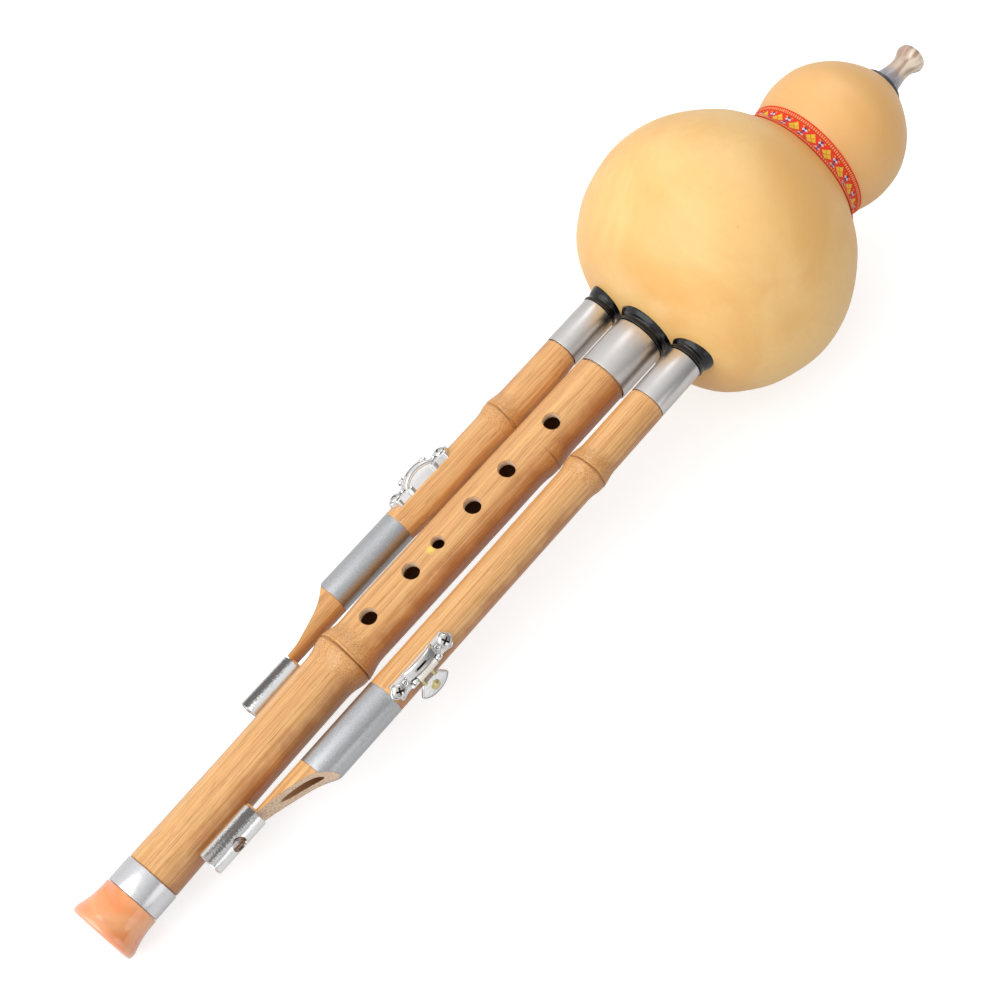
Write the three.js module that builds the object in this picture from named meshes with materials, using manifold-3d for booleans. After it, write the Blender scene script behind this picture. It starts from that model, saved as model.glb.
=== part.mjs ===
// Hulusi: a gourd wind chamber with a fingered bamboo pipe and two keyed drone pipes.
// Millimetres. It lies on its back, finger holes up, on its gourd and its bell.
// Each piece is drawn in the pipes' frame: X from the bell to the gourd, Y to the left drone,
// Z out of the finger holes. The last group turns that frame down onto the table.
import * as THREE from 'three';
import { mergeVertices } from 'three/addons/utils/BufferGeometryUtils.js';
import Module from 'manifold-3d';

const wasm = await Module();
wasm.setup();

// Fits
const fitGap = 0.3;
const cutOverrun = 4;
const ferruleWall = 0.6;

// Bell and the ring above it
const bellLength = 15.8;
const bellMouthRadius = 13.3;
const bellNeckRadius = 11.2;
const bellRimWidth = 3.2;
const bellBoreRadius = 7.2;
const bellMouthBoreRadius = 9.6;
const bellTenonLength = 4.6;
const endFerruleLength = 10.4;
const endFerruleRadius = 11.0;

// Main pipe
const mainPipeShownLength = 246;
const mainPipeRadius = 10.2;
const mainFootRadius = 10.75;
const mainBoreRadius = 6.6;
const mainTenonLength = 8;
const mainNodeShare = 0.41382;
const mainNodeSwell = 1.6;
const mainNodeLength = 20;
const upperNodeShare = 0.84715;
const upperNodeSwell = 0.5;
const pipeBendDegrees = 1.3;

// Finger holes
const firstHoleShare = 0.47724;
const holeRowShare = 0.40691;
const holePlaceShares = [0, 0.227, 0.372, 0.561, 0.75, 1];
const fingerHoleRadius = 3.25;
const smallHoleRadius = 2.5;
const smallHoleNumber = 2;
const holeRowTwistDegrees = 6;
const thumbHoleShare = 0.18;

// Sockets in the gourd
const socketSpacing = 21.9;
const socketRowTurnDegrees = 11.8;
const droneCollarStep = 1.3;
const collarLength = 4.6;
const collarLipHeight = 0.9;
const collarLipWidth = 1.4;
const collarGrooveDepth = 0.5;
const collarNeckWall = 1.3;
const collarNeckReach = 4;
const spigotLength = 13;
const reedTubeWall = 1.5;
const reedTubeReach = 52;
const waxHeight = 2.2;
const waxLip = 1.6;

// Main voice
const mainFerruleLength = 21.2;
const mainFerruleRadius = 10.4;
const mainFlangeRadius = 12.3;

// Right drone
const rightTailRise = 15.5;
const rightPipeRadius = 7.5;
const rightBoreRadius = 4.1;
const rightNodeSwell = 1.2;
const rightFlangeRadius = 9.2;
const rightSplayDegrees = 0.55;
const rightScoopPastSleeve = 6.4;
const rightScoopHeightShares = [-0.66, -0.46, 0, 0.41, 1.1];
const rightCordHoleTurnDegrees = 63;
const rightKeyGap = 15.2;
const rightKeyTurnDegrees = 35;

// Left drone
const leftNodeClearance = 2.7;
const leftPipeRadius = 6.9;
const leftBoreRadius = 3.7;
const leftNodeSwell = 0.9;
const leftFlangeRadius = 7.9;
const leftSplayDegrees = 0;
const leftScoopPastSleeve = 3;
const leftScoopHeightShares = [-0.66, -0.57, -0.14, 0.34, 1.1];
const leftCordHoleTurnDegrees = 100;
const leftKeyGap = 18.5;
const leftKeyTurnDegrees = 46;

// Both drones
const droneFerruleLength = 21.8;
const droneNodeShare = 0.1439;
const droneNodeLength = 16;
const droneTenonLength = 8;
const sleeveShare = 0.1496;
const sleeveWall = 0.7;
const scoopShare = 0.12358;
const scoopPlaceShares = [0, 0.23, 0.62, 0.82, 1];
const tailLength = 23.2;
const tailRadius = 5.15;
const tailWall = 0.75;
const tailInset = 6.8;
const tailShift = 1.5;
const tongueLength = 9.5;
const cordHolePlace = 11.6;
const cordHoleRadius = 2.9;

// Drone keys
const plateLength = 31.6;
const plateWidth = 7.2;
const plateThickness = 1.6;
const plateBeamWidth = 0.8;
const plateRunShares = [0.45, 0.56, 0.68, 0.85, 0.88, 0.94, 1];
const plateWidthShares = [1, 0.8, 0.93, 0.98, 0.62, 0.42, 0.06];
const screwSpacing = 24.3;
const screwHeadRadius = 2.5;
const screwHeadHeight = 1.1;
const screwShankRadius = 0.8;
const screwShankLength = 3.4;
const screwSlotWidth = 0.7;
const bridgeLength = 15.6;
const bridgeWidth = 2.4;
const bridgeHeight = 5.9;
const bridgeStrap = 0.9;
const bridgeOffset = 1.3;
const bridgeSlotLength = 7.4;
const bridgeSlotWidth = 0.8;
const toneHoleRadius = 1.4;
const padRadius = 1.9;
const padThickness = 1.6;
const padSwing = 1.1;
const pinPlace = 1.8;
const pinHeight = 3.7;
const pinRadius = 0.5;
const lugWidth = 2.3;
const barrelLength = 9.3;
const barrelRadius = 1.4;
const armWidth = 3.6;
const armThickness = 0.8;
const armReach = 3.8;
const tabLength = 10.2;
const tabOffset = 1.2;
const tabNeckWidth = 6.4;
const tabNeckLength = 1.8;
const tabArmWidth = 1.4;
const tabInnerWidth = 8;
const tabOuterWidth = 13.9;
const tabWidestShare = 0.7;
const tabThickness = 0.9;
const tabSlopeDegrees = 23;
const buttonRadius = 1.95;
const buttonHeight = 0.7;
const buttonPlaceShare = 0.66;
const buttonShankShare = 0.6;
const springTurns = 2;
const springPitch = 0.9;
const springRadius = 1.02;
const springWire = 0.32;

// Gourd
const gourdWall = 3.4;
const bigLobeRadius = 56.1;
const waistRadius = 25.9;
const smallLobeRadius = 30;
const baseToWidest = 43.8;
const widestToWaist = 48.3;
const waistToShoulder = 18.7;
const shoulderToTip = 32;
const gourdLeanDegrees = 2.6;
const gourdLeanPlace = 64.4;

// Waist ribbon
const ribbonWidth = 9.6;
const ribbonThickness = 0.9;
const ribbonPlace = 91.6;

// Mouthpiece
const mouthBaseRadius = 9.4;
const mouthBaseTopRadius = 5.6;
const mouthBaseHeight = 5.2;
const mouthBaseRim = 0.7;
const mouthLength = 16.3;
const mouthFootRadius = 5.4;
const mouthNeckRadius = 4.35;
const mouthFlareRadius = 6.2;
const mouthBoreRadius = 2.1;
const mouthTenonRadius = 3.6;
const mouthTenonLength = 10;

// Reeds
const reedLengthShare = 0.42;
const reedWidthShare = 0.9;
const reedThickness = 0.6;
const reedSlit = 0.25;
const reedFlatDepthShare = 0.45;

// Facets
const lobeSides = 38;
const bellSides = 28;
const pipeSides = 24;
const droneSides = 20;
const smallSides = 16;
const screwSides = 12;
const holeSides = 12;
const outlineSteps = 21;
const springSteps = 8;
const springSides = 5;
const bowSteps = 12;

const radians = THREE.MathUtils.degToRad;

// Places along the pipes' axis
const endFerruleStart = bellLength + fitGap;
const pipeFoot = endFerruleStart + endFerruleLength + fitGap;
const mainNodePlace = mainPipeShownLength * mainNodeShare;
const mainNodeX = pipeFoot + mainNodePlace;
const pipeHead = pipeFoot + mainPipeShownLength;
const holeRowLength = mainPipeShownLength * holeRowShare;
const firstHoleX = pipeFoot + mainPipeShownLength * firstHoleShare;
const ferruleStart = pipeHead + fitGap;
const mainCollarStart = ferruleStart + mainFerruleLength + fitGap;
const droneCollarStart = mainCollarStart + droneCollarStep;
const gourdBase = mainCollarStart + collarLength;

// The drones follow the main pipe: the right tail stays clear of the bell, the left one of the node
const droneHead = droneCollarStart - fitGap - droneFerruleLength - fitGap;
const droneNodeGap = mainPipeShownLength * droneNodeShare;
const sleeveLength = mainPipeShownLength * sleeveShare;
const scoopLength = mainPipeShownLength * scoopShare;
const rightShownLength = droneHead - (pipeFoot + rightTailRise + tailLength + fitGap);
const leftShownLength = droneHead - (mainNodeX - mainNodeLength / 2 - leftNodeClearance + fitGap);
const gourdWidest = gourdBase + baseToWidest;
const gourdWaist = gourdWidest + widestToWaist;
const gourdShoulder = gourdWaist + waistToShoulder;
const gourdTip = gourdShoulder + shoulderToTip;

// Removes normals, joins shared corners and drops the triangles that have no area.
function welded(geometry) {
  const bare = geometry.clone();
  bare.deleteAttribute('normal');
  bare.deleteAttribute('uv');
  const merged = mergeVertices(bare, 1e-4);
  const kept = [];
  const index = merged.index.array;
  for (let i = 0; i < index.length; i += 3) {
    const [a, b, c] = [index[i], index[i + 1], index[i + 2]];
    if (a !== b && b !== c && c !== a) kept.push(a, b, c);
  }
  merged.setIndex(kept);
  return merged;
}

function solid(geometry) {
  const triVerts = Uint32Array.from(geometry.index.array);
  const vertProperties = Float32Array.from(geometry.attributes.position.array);
  return new wasm.Manifold(new wasm.Mesh({ numProp: 3, vertProperties, triVerts }));
}

function surface(manifold) {
  const mesh = manifold.getMesh();
  const geometry = new THREE.BufferGeometry();
  geometry.setAttribute('position', new THREE.BufferAttribute(Float32Array.from(mesh.vertProperties), 3));
  geometry.setIndex(new THREE.BufferAttribute(Uint32Array.from(mesh.triVerts), 1));
  return geometry;
}

// A body turned round the X axis. Each outline point is [place along X, radius].
function turned(outline, sides) {
  const points = outline.map(([along, radius]) => new THREE.Vector2(radius, along));
  const geometry = new THREE.LatheGeometry(points, sides, Math.PI / sides);
  geometry.rotateZ(-Math.PI / 2);
  return welded(geometry);
}

function rod(start, end, radius, sides) {
  return turned([[start, 0], [start, radius], [end, radius], [end, 0]], sides);
}

function ring(start, end, inner, outer, sides) {
  return turned([[start, inner], [start, outer], [end, outer], [end, inner], [start, inner]], sides);
}

// A round cutter that stands on the Z axis.
function drill(bottom, top, radius, sides = holeSides) {
  const geometry = new THREE.CylinderGeometry(radius, radius, top - bottom, sides);
  geometry.rotateX(Math.PI / 2);
  geometry.translate(0, 0, (top + bottom) / 2);
  return welded(geometry);
}

function block(low, high) {
  const geometry = new THREE.BoxGeometry(high[0] - low[0], high[1] - low[1], high[2] - low[2]);
  geometry.translate((high[0] + low[0]) / 2, (high[1] + low[1]) / 2, (high[2] + low[2]) / 2);
  return welded(geometry);
}

// An outline in X and Y, carried from one height to another along Z.
function carried(points, bottom, top) {
  const shape = new THREE.Shape(points.map(([x, y]) => new THREE.Vector2(x, y)));
  const geometry = new THREE.ExtrudeGeometry(shape, { depth: top - bottom, bevelEnabled: false });
  geometry.translate(0, 0, bottom);
  return welded(geometry);
}

function material(color, roughness, metalness) {
  return new THREE.MeshStandardMaterial({ color, roughness, metalness });
}

const bamboo = material('#d9a566', 0.5, 0);
const gourdSkin = material('#e6b76e', 0.45, 0);
const brushedSteel = material('#b9b6b2', 0.35, 1);
const polishedSteel = material('#e2e2e4', 0.08, 1);
const satinAluminium = material('#c2c5c8', 0.4, 1);
const blackResin = material('#17171a', 0.15, 0);
const agateResin = material('#ef9a63', 0.2, 0);
const horn = material('#d8c4a4', 0.25, 0);
const darkHorn = material('#4a4440', 0.25, 0);
const wovenRibbon = material('#e2452c', 0.9, 0);
const brass = material('#c9a24a', 0.3, 1);
const leather = material('#5b4030', 0.8, 0);
const beeswax = material('#b98a3c', 0.6, 0);
const cane = material('#c99a5a', 0.6, 0);
const springSteel = material('#8d8f92', 0.3, 1);

function piece(name, geometry, look) {
  const mesh = new THREE.Mesh(geometry.index ? geometry.toNonIndexed() : geometry, look);
  mesh.name = name;
  return mesh;
}

// The swelling of a bamboo node: radii past the pipe's own, with the groove in its middle.
function nodeOutline(place, length, radius, swell) {
  const runShares = [-0.5, -0.3, -0.14, -0.03, 0, 0.03, 0.12, 0.26, 0.5];
  const riseShares = [0, 0.25, 0.85, 1, 0.7, 0.95, 0.85, 0.25, 0];
  return runShares.map((share, i) => [place + share * length, radius + riseShares[i] * swell]);
}

// Below its node the pipe runs on at a slight angle.
function bendFrame() {
  const matrix = new THREE.Matrix4().makeTranslation(mainNodeX, 0, 0);
  matrix.multiply(new THREE.Matrix4().makeRotationZ(radians(pipeBendDegrees)));
  return matrix.multiply(new THREE.Matrix4().makeTranslation(-mainNodeX, 0, 0));
}

function bendBelowNode(geometry) {
  const matrix = bendFrame();
  const position = geometry.attributes.position;
  const point = new THREE.Vector3();
  for (let i = 0; i < position.count; i += 1) {
    point.fromBufferAttribute(position, i);
    if (point.x < mainNodeX) point.applyMatrix4(matrix);
    position.setXYZ(i, point.x, point.y, point.z);
  }
  return geometry;
}

function bell() {
  const tenonRadius = endFerruleRadius - ferruleWall - fitGap;
  const rim = bellRimWidth / 2;
  const mouth = bellMouthRadius - rim;
  const curve = new THREE.EllipseCurve(rim, mouth, rim, rim, -Math.PI / 2, -3 * Math.PI / 2, true);
  const rimPoints = curve.getPoints(6).map((point) => [point.x, point.y]);
  const flare = new THREE.QuadraticBezierCurve(
    new THREE.Vector2(bellRimWidth, mouth + rim * 0.9),
    new THREE.Vector2(bellLength * 0.5, bellNeckRadius),
    new THREE.Vector2(bellLength, bellNeckRadius),
  );
  const outline = [
    [bellLength * 0.4, bellBoreRadius],
    [rim, bellMouthBoreRadius],
    ...rimPoints.slice(1),
    ...flare.getPoints(5).map((point) => [point.x, point.y]),
    [bellLength, tenonRadius],
    [bellLength + bellTenonLength, tenonRadius],
    [bellLength + bellTenonLength, bellBoreRadius],
    [bellLength * 0.4, bellBoreRadius],
  ];
  return turned(outline, bellSides);
}

function endFerrule() {
  const inner = endFerruleRadius - ferruleWall;
  return ring(endFerruleStart, endFerruleStart + endFerruleLength, inner, endFerruleRadius, pipeSides);
}

function mainPipe() {
  const footTenon = endFerruleRadius - ferruleWall - fitGap;
  const footTenonStart = bellLength + bellTenonLength + fitGap;
  const headTenon = mainFerruleRadius - ferruleWall - fitGap;
  const headTenonEnd = ferruleStart + mainTenonLength;
  const tube = turned([
    [footTenonStart, mainBoreRadius],
    [footTenonStart, footTenon],
    [pipeFoot, footTenon],
    [pipeFoot, mainFootRadius],
    [pipeFoot + mainNodePlace / 2, mainPipeRadius],
    ...nodeOutline(mainNodeX, mainNodeLength, mainPipeRadius, mainNodeSwell),
    ...nodeOutline(pipeFoot + mainPipeShownLength * upperNodeShare,
      mainNodeLength, mainPipeRadius, upperNodeSwell),
    [pipeHead, mainPipeRadius],
    [pipeHead, headTenon],
    [headTenonEnd, headTenon],
    [headTenonEnd, mainBoreRadius],
    [footTenonStart, mainBoreRadius],
  ], pipeSides);
  let pipe = solid(tube);
  holePlaceShares.forEach((share, number) => {
    const radius = number === smallHoleNumber ? smallHoleRadius : fingerHoleRadius;
    const hole = drill(0, mainPipeRadius + cutOverrun, radius);
    hole.rotateX(radians(holeRowTwistDegrees * (share - 1 / 2)));
    hole.translate(firstHoleX + share * holeRowLength, 0, 0);
    pipe = pipe.subtract(solid(hole));
  });
  const thumbHole = drill(-mainPipeRadius - cutOverrun, 0, fingerHoleRadius);
  thumbHole.translate(firstHoleX + holeRowLength * (1 + thumbHoleShare), 0, 0);
  return bendBelowNode(surface(pipe.subtract(solid(thumbHole))));
}

// The gourd's outline from its base to its tip, as places and radii on one smooth curve.
function gourdCurve() {
  const rows = [
    [gourdBase, 0],
    [gourdBase + baseToWidest * 0.009, bigLobeRadius * 0.22],
    [gourdBase + baseToWidest * 0.034, bigLobeRadius * 0.4],
    [gourdBase + baseToWidest * 0.09, bigLobeRadius * 0.588],
    [gourdBase + baseToWidest * 0.202, bigLobeRadius * 0.74],
    [gourdBase + baseToWidest * 0.37, bigLobeRadius * 0.85],
    [gourdBase + baseToWidest * 0.612, bigLobeRadius * 0.945],
    [gourdWidest, bigLobeRadius],
    [gourdWidest + widestToWaist * 0.352, waistRadius + (bigLobeRadius - waistRadius) * 0.88],
    [gourdWidest + widestToWaist * 0.68, waistRadius + (bigLobeRadius - waistRadius) * 0.55],
    [gourdWidest + widestToWaist * 0.885, waistRadius + (bigLobeRadius - waistRadius) * 0.168],
    [gourdWaist, waistRadius],
    [gourdWaist + waistToShoulder * 0.33, waistRadius + (smallLobeRadius - waistRadius) * 0.46],
    [gourdWaist + waistToShoulder * 0.66, waistRadius + (smallLobeRadius - waistRadius) * 0.88],
    [gourdShoulder, smallLobeRadius],
    [gourdShoulder + shoulderToTip * 0.27, smallLobeRadius * 0.953],
    [gourdShoulder + shoulderToTip * 0.56, smallLobeRadius * 0.78],
    [gourdShoulder + shoulderToTip * 0.8, smallLobeRadius * 0.513],
    [gourdShoulder + shoulderToTip * 0.94, smallLobeRadius * 0.26],
    [gourdTip, 0],
  ];
  return new THREE.SplineCurve(rows.map(([along, radius]) => new THREE.Vector2(along, radius)));
}

// Points of that outline, moved out along their own normals by an offset.
function gourdOutline(offset, count) {
  const curve = gourdCurve();
  const points = [];
  for (let i = 0; i <= count; i += 1) {
    const share = i / count;
    const point = curve.getPoint(share);
    const slope = curve.getTangent(share);
    points.push([point.x - slope.y * offset, Math.max(point.y + slope.x * offset, 0)]);
  }
  points[0] = [gourdBase - offset, 0];
  points[count] = [gourdTip + offset, 0];
  return points;
}

// The gourd and all on it leans a little to the right.
function leanFrame() {
  const place = gourdBase + gourdLeanPlace;
  const matrix = new THREE.Matrix4().makeTranslation(place, 0, 0);
  matrix.multiply(new THREE.Matrix4().makeRotationZ(-radians(gourdLeanDegrees)));
  return matrix.multiply(new THREE.Matrix4().makeTranslation(-place, 0, 0));
}

function leaned(geometry) {
  return geometry.applyMatrix4(leanFrame());
}

function gourdOuter(offset) {
  return leaned(turned(gourdOutline(offset, outlineSteps), lobeSides));
}

function gourdInner(offset) {
  return leaned(turned(gourdOutline(-gourdWall - offset, outlineSteps), lobeSides));
}

// Where the big lobe's skin, or its inner wall, has a given radius near the base.
function lobePlace(radius, offset = 0) {
  const outline = gourdOutline(offset, outlineSteps * 4);
  return outline.find((point) => point[1] >= radius)[0];
}

// A drone's frame stands at its socket in the gourd and splays towards the foot.
function droneFrame(side, splayDegrees) {
  const turn = radians(socketRowTurnDegrees);
  const y = side * socketSpacing * Math.cos(turn);
  const z = -side * socketSpacing * Math.sin(turn);
  const matrix = new THREE.Matrix4().makeTranslation(droneCollarStart, y, z);
  matrix.multiply(new THREE.Matrix4().makeRotationZ(-side * radians(splayDegrees)));
  return matrix.multiply(new THREE.Matrix4().makeTranslation(-droneCollarStart, 0, 0));
}

const mainVoice = {
  name: 'main',
  frame: new THREE.Matrix4(),
  axisRadius: 0,
  collarStart: mainCollarStart,
  ferruleRadius: mainFerruleRadius,
  ferruleLength: mainFerruleLength,
  boreRadius: mainBoreRadius,
  flangeRadius: mainFlangeRadius,
  tenonLength: mainTenonLength,
  sides: pipeSides,
};

function droneVoice(name, side, splayDegrees, sizes) {
  return {
    name,
    side,
    frame: droneFrame(side, splayDegrees),
    axisRadius: socketSpacing,
    collarStart: droneCollarStart,
    ferruleLength: droneFerruleLength,
    tenonLength: droneTenonLength,
    sides: droneSides,
    ...sizes,
  };
}

const leftVoice = droneVoice('left', 1, leftSplayDegrees, {
  ferruleRadius: leftPipeRadius,
  pipeRadius: leftPipeRadius,
  boreRadius: leftBoreRadius,
  flangeRadius: leftFlangeRadius,
  nodeSwell: leftNodeSwell,
  shownLength: leftShownLength,
  scoopPastSleeve: leftScoopPastSleeve,
  scoopHeightShares: leftScoopHeightShares,
  keyGap: leftKeyGap,
  keyTurnDegrees: leftKeyTurnDegrees,
  cordHoleTurnDegrees: leftCordHoleTurnDegrees,
});

const rightVoice = droneVoice('right', -1, rightSplayDegrees, {
  ferruleRadius: rightPipeRadius,
  pipeRadius: rightPipeRadius,
  boreRadius: rightBoreRadius,
  flangeRadius: rightFlangeRadius,
  nodeSwell: rightNodeSwell,
  shownLength: rightShownLength,
  scoopPastSleeve: rightScoopPastSleeve,
  scoopHeightShares: rightScoopHeightShares,
  keyGap: rightKeyGap,
  keyTurnDegrees: rightKeyTurnDegrees,
  cordHoleTurnDegrees: rightCordHoleTurnDegrees,
});

const voices = [mainVoice, leftVoice, rightVoice];

function spigotRadius(voice) {
  return voice.ferruleRadius - ferruleWall - fitGap;
}

function reedTubeRadius(voice) {
  return spigotRadius(voice) - collarNeckWall - fitGap;
}

function collarNeckRadius(voice) {
  return reedTubeRadius(voice) + fitGap + collarNeckWall;
}

// The place along the axis where the neck has come fully through the gourd's wall.
function neckEnd(voice) {
  return lobePlace(voice.axisRadius + collarNeckRadius(voice), -gourdWall) + collarNeckReach;
}

// The hole in the gourd's base that the collar's neck goes through.
function socketHole(voice) {
  const hole = rod(voice.collarStart, neckEnd(voice), collarNeckRadius(voice) + fitGap, voice.sides);
  return hole.applyMatrix4(voice.frame);
}

function gourdShell() {
  let shell = solid(gourdOuter(0)).subtract(solid(gourdInner(0)));
  voices.forEach((voice) => {
    shell = shell.subtract(solid(socketHole(voice)));
  });
  const tenonRadius = mouthTenonRadius + fitGap;
  const tenonHole = rod(gourdTip - gourdWall * 3, gourdTip + cutOverrun, tenonRadius, smallSides);
  return surface(shell.subtract(solid(leaned(tenonHole))));
}

// A socket: spigot for the ferrule, lip, groove, flange on the gourd and neck through its wall.
function collar(voice) {
  const { collarStart } = voice;
  const bore = reedTubeRadius(voice) + fitGap;
  const spigot = spigotRadius(voice);
  const lip = voice.ferruleRadius + collarLipHeight;
  const groove = voice.ferruleRadius - collarGrooveDepth;
  const lipEnd = collarStart + collarLipWidth;
  const grooveEnd = lipEnd + (collarLength - collarLipWidth) / 3;
  const flangeStart = grooveEnd + (collarLength - collarLipWidth) / 3;
  const flangeEnd = lobePlace(voice.axisRadius + voice.flangeRadius) + fitGap;
  const outside = turned([
    [collarStart - spigotLength, bore],
    [collarStart - spigotLength, spigot],
    [collarStart, spigot],
    [collarStart, lip],
    [lipEnd, lip],
    [lipEnd, groove],
    [grooveEnd, groove],
    [flangeStart, voice.flangeRadius],
    [flangeEnd, voice.flangeRadius],
    [flangeEnd, bore],
    [collarStart - spigotLength, bore],
  ], voice.sides);
  const neck = ring(grooveEnd, neckEnd(voice), bore, collarNeckRadius(voice), voice.sides);
  outside.applyMatrix4(voice.frame);
  neck.applyMatrix4(voice.frame);
  return surface(solid(outside).subtract(solid(gourdOuter(fitGap))).add(solid(neck)));
}

function ferrule(voice) {
  const start = voice.collarStart - fitGap - voice.ferruleLength;
  const geometry = ring(start, start + voice.ferruleLength, voice.ferruleRadius - ferruleWall,
    voice.ferruleRadius, voice.sides);
  return geometry.applyMatrix4(voice.frame);
}

// A tube closed at its top, with a flat on which the reed lies over its window.
function reedTube(voice) {
  const radius = reedTubeRadius(voice);
  const bore = radius - reedTubeWall;
  const start = voice.collarStart - spigotLength;
  const end = gourdBase + reedTubeReach;
  const tube = turned([
    [start, bore],
    [start, radius],
    [end, radius],
    [end, 0],
    [end - reedTubeWall, 0],
    [end - reedTubeWall, bore],
    [start, bore],
  ], smallSides);
  const flat = radius - reedTubeWall * reedFlatDepthShare;
  const reed = reedSizes(voice);
  const flatLow = [reed.start - fitGap, -radius, flat];
  const flatCut = block(flatLow, [reed.end + fitGap, radius, radius + cutOverrun]);
  const margin = (reed.end - reed.start) / 8;
  const windowHalf = reed.width / 4;
  const window = block([reed.start + margin, -windowHalf, 0], [reed.end - margin, windowHalf, radius]);
  const shaped = surface(solid(tube).subtract(solid(flatCut)).subtract(solid(window)));
  return shaped.applyMatrix4(voice.frame);
}

function reedSizes(voice) {
  const radius = reedTubeRadius(voice);
  const length = reedTubeReach * reedLengthShare;
  const end = gourdBase + reedTubeReach - reedTubeWall * 2;
  const flat = radius - reedTubeWall * reedFlatDepthShare;
  return { start: end - length, end, width: radius * reedWidthShare, seat: flat + fitGap };
}

// A brass plate whose pointed tongue is cut free on two sides.
function reed(voice) {
  const { start, end, width, seat } = reedSizes(voice);
  const half = width / 2;
  const plate = new THREE.Shape([
    new THREE.Vector2(start, -half), new THREE.Vector2(end, -half),
    new THREE.Vector2(end, half), new THREE.Vector2(start, half),
  ]);
  const root = start + (end - start) * 0.2;
  const tip = start + (end - start) * 0.8;
  const spread = half / 2;
  const slit = new THREE.Path([
    new THREE.Vector2(root, spread), new THREE.Vector2(tip, 0), new THREE.Vector2(root, -spread),
    new THREE.Vector2(root, -spread - reedSlit), new THREE.Vector2(tip + reedSlit * 4, 0),
    new THREE.Vector2(root, spread + reedSlit),
  ]);
  plate.holes.push(slit);
  const geometry = welded(new THREE.ExtrudeGeometry(plate, { depth: reedThickness, bevelEnabled: false }));
  geometry.translate(0, 0, seat);
  return geometry.applyMatrix4(voice.frame);
}

// Wax round the neck, where it comes out on the gourd's inner wall.
function waxSeal(voice) {
  const inner = collarNeckRadius(voice) + fitGap;
  const start = lobePlace(Math.max(voice.axisRadius - inner, 0), -gourdWall);
  const end = neckEnd(voice);
  const seal = turned([
    [start, inner],
    [start, inner + waxHeight],
    [end - waxLip, inner + waxHeight],
    [end, inner + waxHeight / 3],
    [end, inner],
    [start, inner],
  ], smallSides);
  seal.applyMatrix4(voice.frame);
  return surface(solid(seal).intersect(solid(gourdInner(fitGap))));
}

// The scoop's cutter: all that lies outward of a curve that climbs from the tongue to the skin.
function scoopCutter(voice, start) {
  const { side, pipeRadius, scoopHeightShares } = voice;
  const curve = new THREE.SplineCurve(scoopPlaceShares.map((share, i) => new THREE.Vector2(
    start + share * scoopLength,
    side * scoopHeightShares[i] * pipeRadius,
  )));
  const far = side * (pipeRadius + cutOverrun);
  const points = curve.getPoints(9).map((point) => [point.x, point.y]);
  const last = points[points.length - 1];
  points.push([last[0], far], [start - tongueLength - cutOverrun, far]);
  points.push([start - tongueLength - cutOverrun, points[0][1]]);
  return carried(points, -pipeRadius - cutOverrun, pipeRadius + cutOverrun);
}

function droneStart(voice) {
  return voice.collarStart - fitGap - voice.ferruleLength - fitGap - voice.shownLength;
}

function sleeveStart(voice) {
  return droneStart(voice) + scoopLength - voice.scoopPastSleeve;
}

function keyMiddle(voice) {
  return sleeveStart(voice) + sleeveLength + voice.keyGap;
}

function tailFrame(voice) {
  return new THREE.Matrix4().makeTranslation(0, -voice.side * tailInset, -voice.side * tailShift);
}

// Holes that the key needs in the pipe: the tone hole and two pilot holes for its screws.
function keyHoles(voice) {
  const holes = [drill(0, voice.pipeRadius + cutOverrun, toneHoleRadius)];
  [-1, 1].forEach((end) => {
    const top = voice.pipeRadius + fitGap * 2 + plateThickness;
    const pilot = drill(top - screwShankLength - fitGap, top, screwShankRadius + fitGap, smallSides / 2);
    pilot.translate(end * screwSpacing / 2, 0, 0);
    holes.push(pilot);
  });
  return holes.map((hole) => hole.applyMatrix4(keyFrame(voice)));
}

function dronePipe(voice) {
  const { pipeRadius, boreRadius, side } = voice;
  const start = droneStart(voice);
  const headShoulder = voice.collarStart - fitGap - voice.ferruleLength - fitGap;
  const headTenonEnd = headShoulder + fitGap + voice.tenonLength;
  const sleeved = pipeRadius - sleeveWall - fitGap;
  const seat = sleeveStart(voice) - fitGap;
  const seatEnd = sleeveStart(voice) + sleeveLength + fitGap;
  const tube = turned([
    [start - tongueLength, boreRadius],
    [start - tongueLength, pipeRadius],
    [seat, pipeRadius],
    [seat, sleeved],
    [seatEnd, sleeved],
    [seatEnd, pipeRadius],
    ...nodeOutline(headShoulder - droneNodeGap, droneNodeLength, pipeRadius, voice.nodeSwell),
    [headShoulder, pipeRadius],
    [headShoulder, spigotRadius(voice)],
    [headTenonEnd, spigotRadius(voice)],
    [headTenonEnd, boreRadius],
    [start - tongueLength, boreRadius],
  ], droneSides);
  let pipe = solid(tube).subtract(solid(scoopCutter(voice, start)));
  keyHoles(voice).forEach((hole) => {
    pipe = pipe.subtract(solid(hole));
  });
  const tenonRadius = tailRadius - tailWall - fitGap;
  const tenon = rod(start - tongueLength - cutOverrun, start + fitGap, tenonRadius, smallSides);
  tenon.applyMatrix4(tailFrame(voice));
  const reach = pipeRadius + cutOverrun;
  const belowTongue = block([start - tongueLength - cutOverrun, -reach, -reach], [start, reach, reach]);
  const tongue = pipe.intersect(solid(belowTongue)).intersect(solid(tenon));
  const body = pipe.subtract(solid(belowTongue));
  return surface(body.add(tongue)).applyMatrix4(voice.frame);
}

function sleeve(voice) {
  const start = sleeveStart(voice);
  const tube = ring(start, start + sleeveLength, voice.pipeRadius - sleeveWall, voice.pipeRadius, droneSides);
  const cut = solid(tube).subtract(solid(scoopCutter(voice, droneStart(voice))));
  return surface(cut).applyMatrix4(voice.frame);
}

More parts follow.
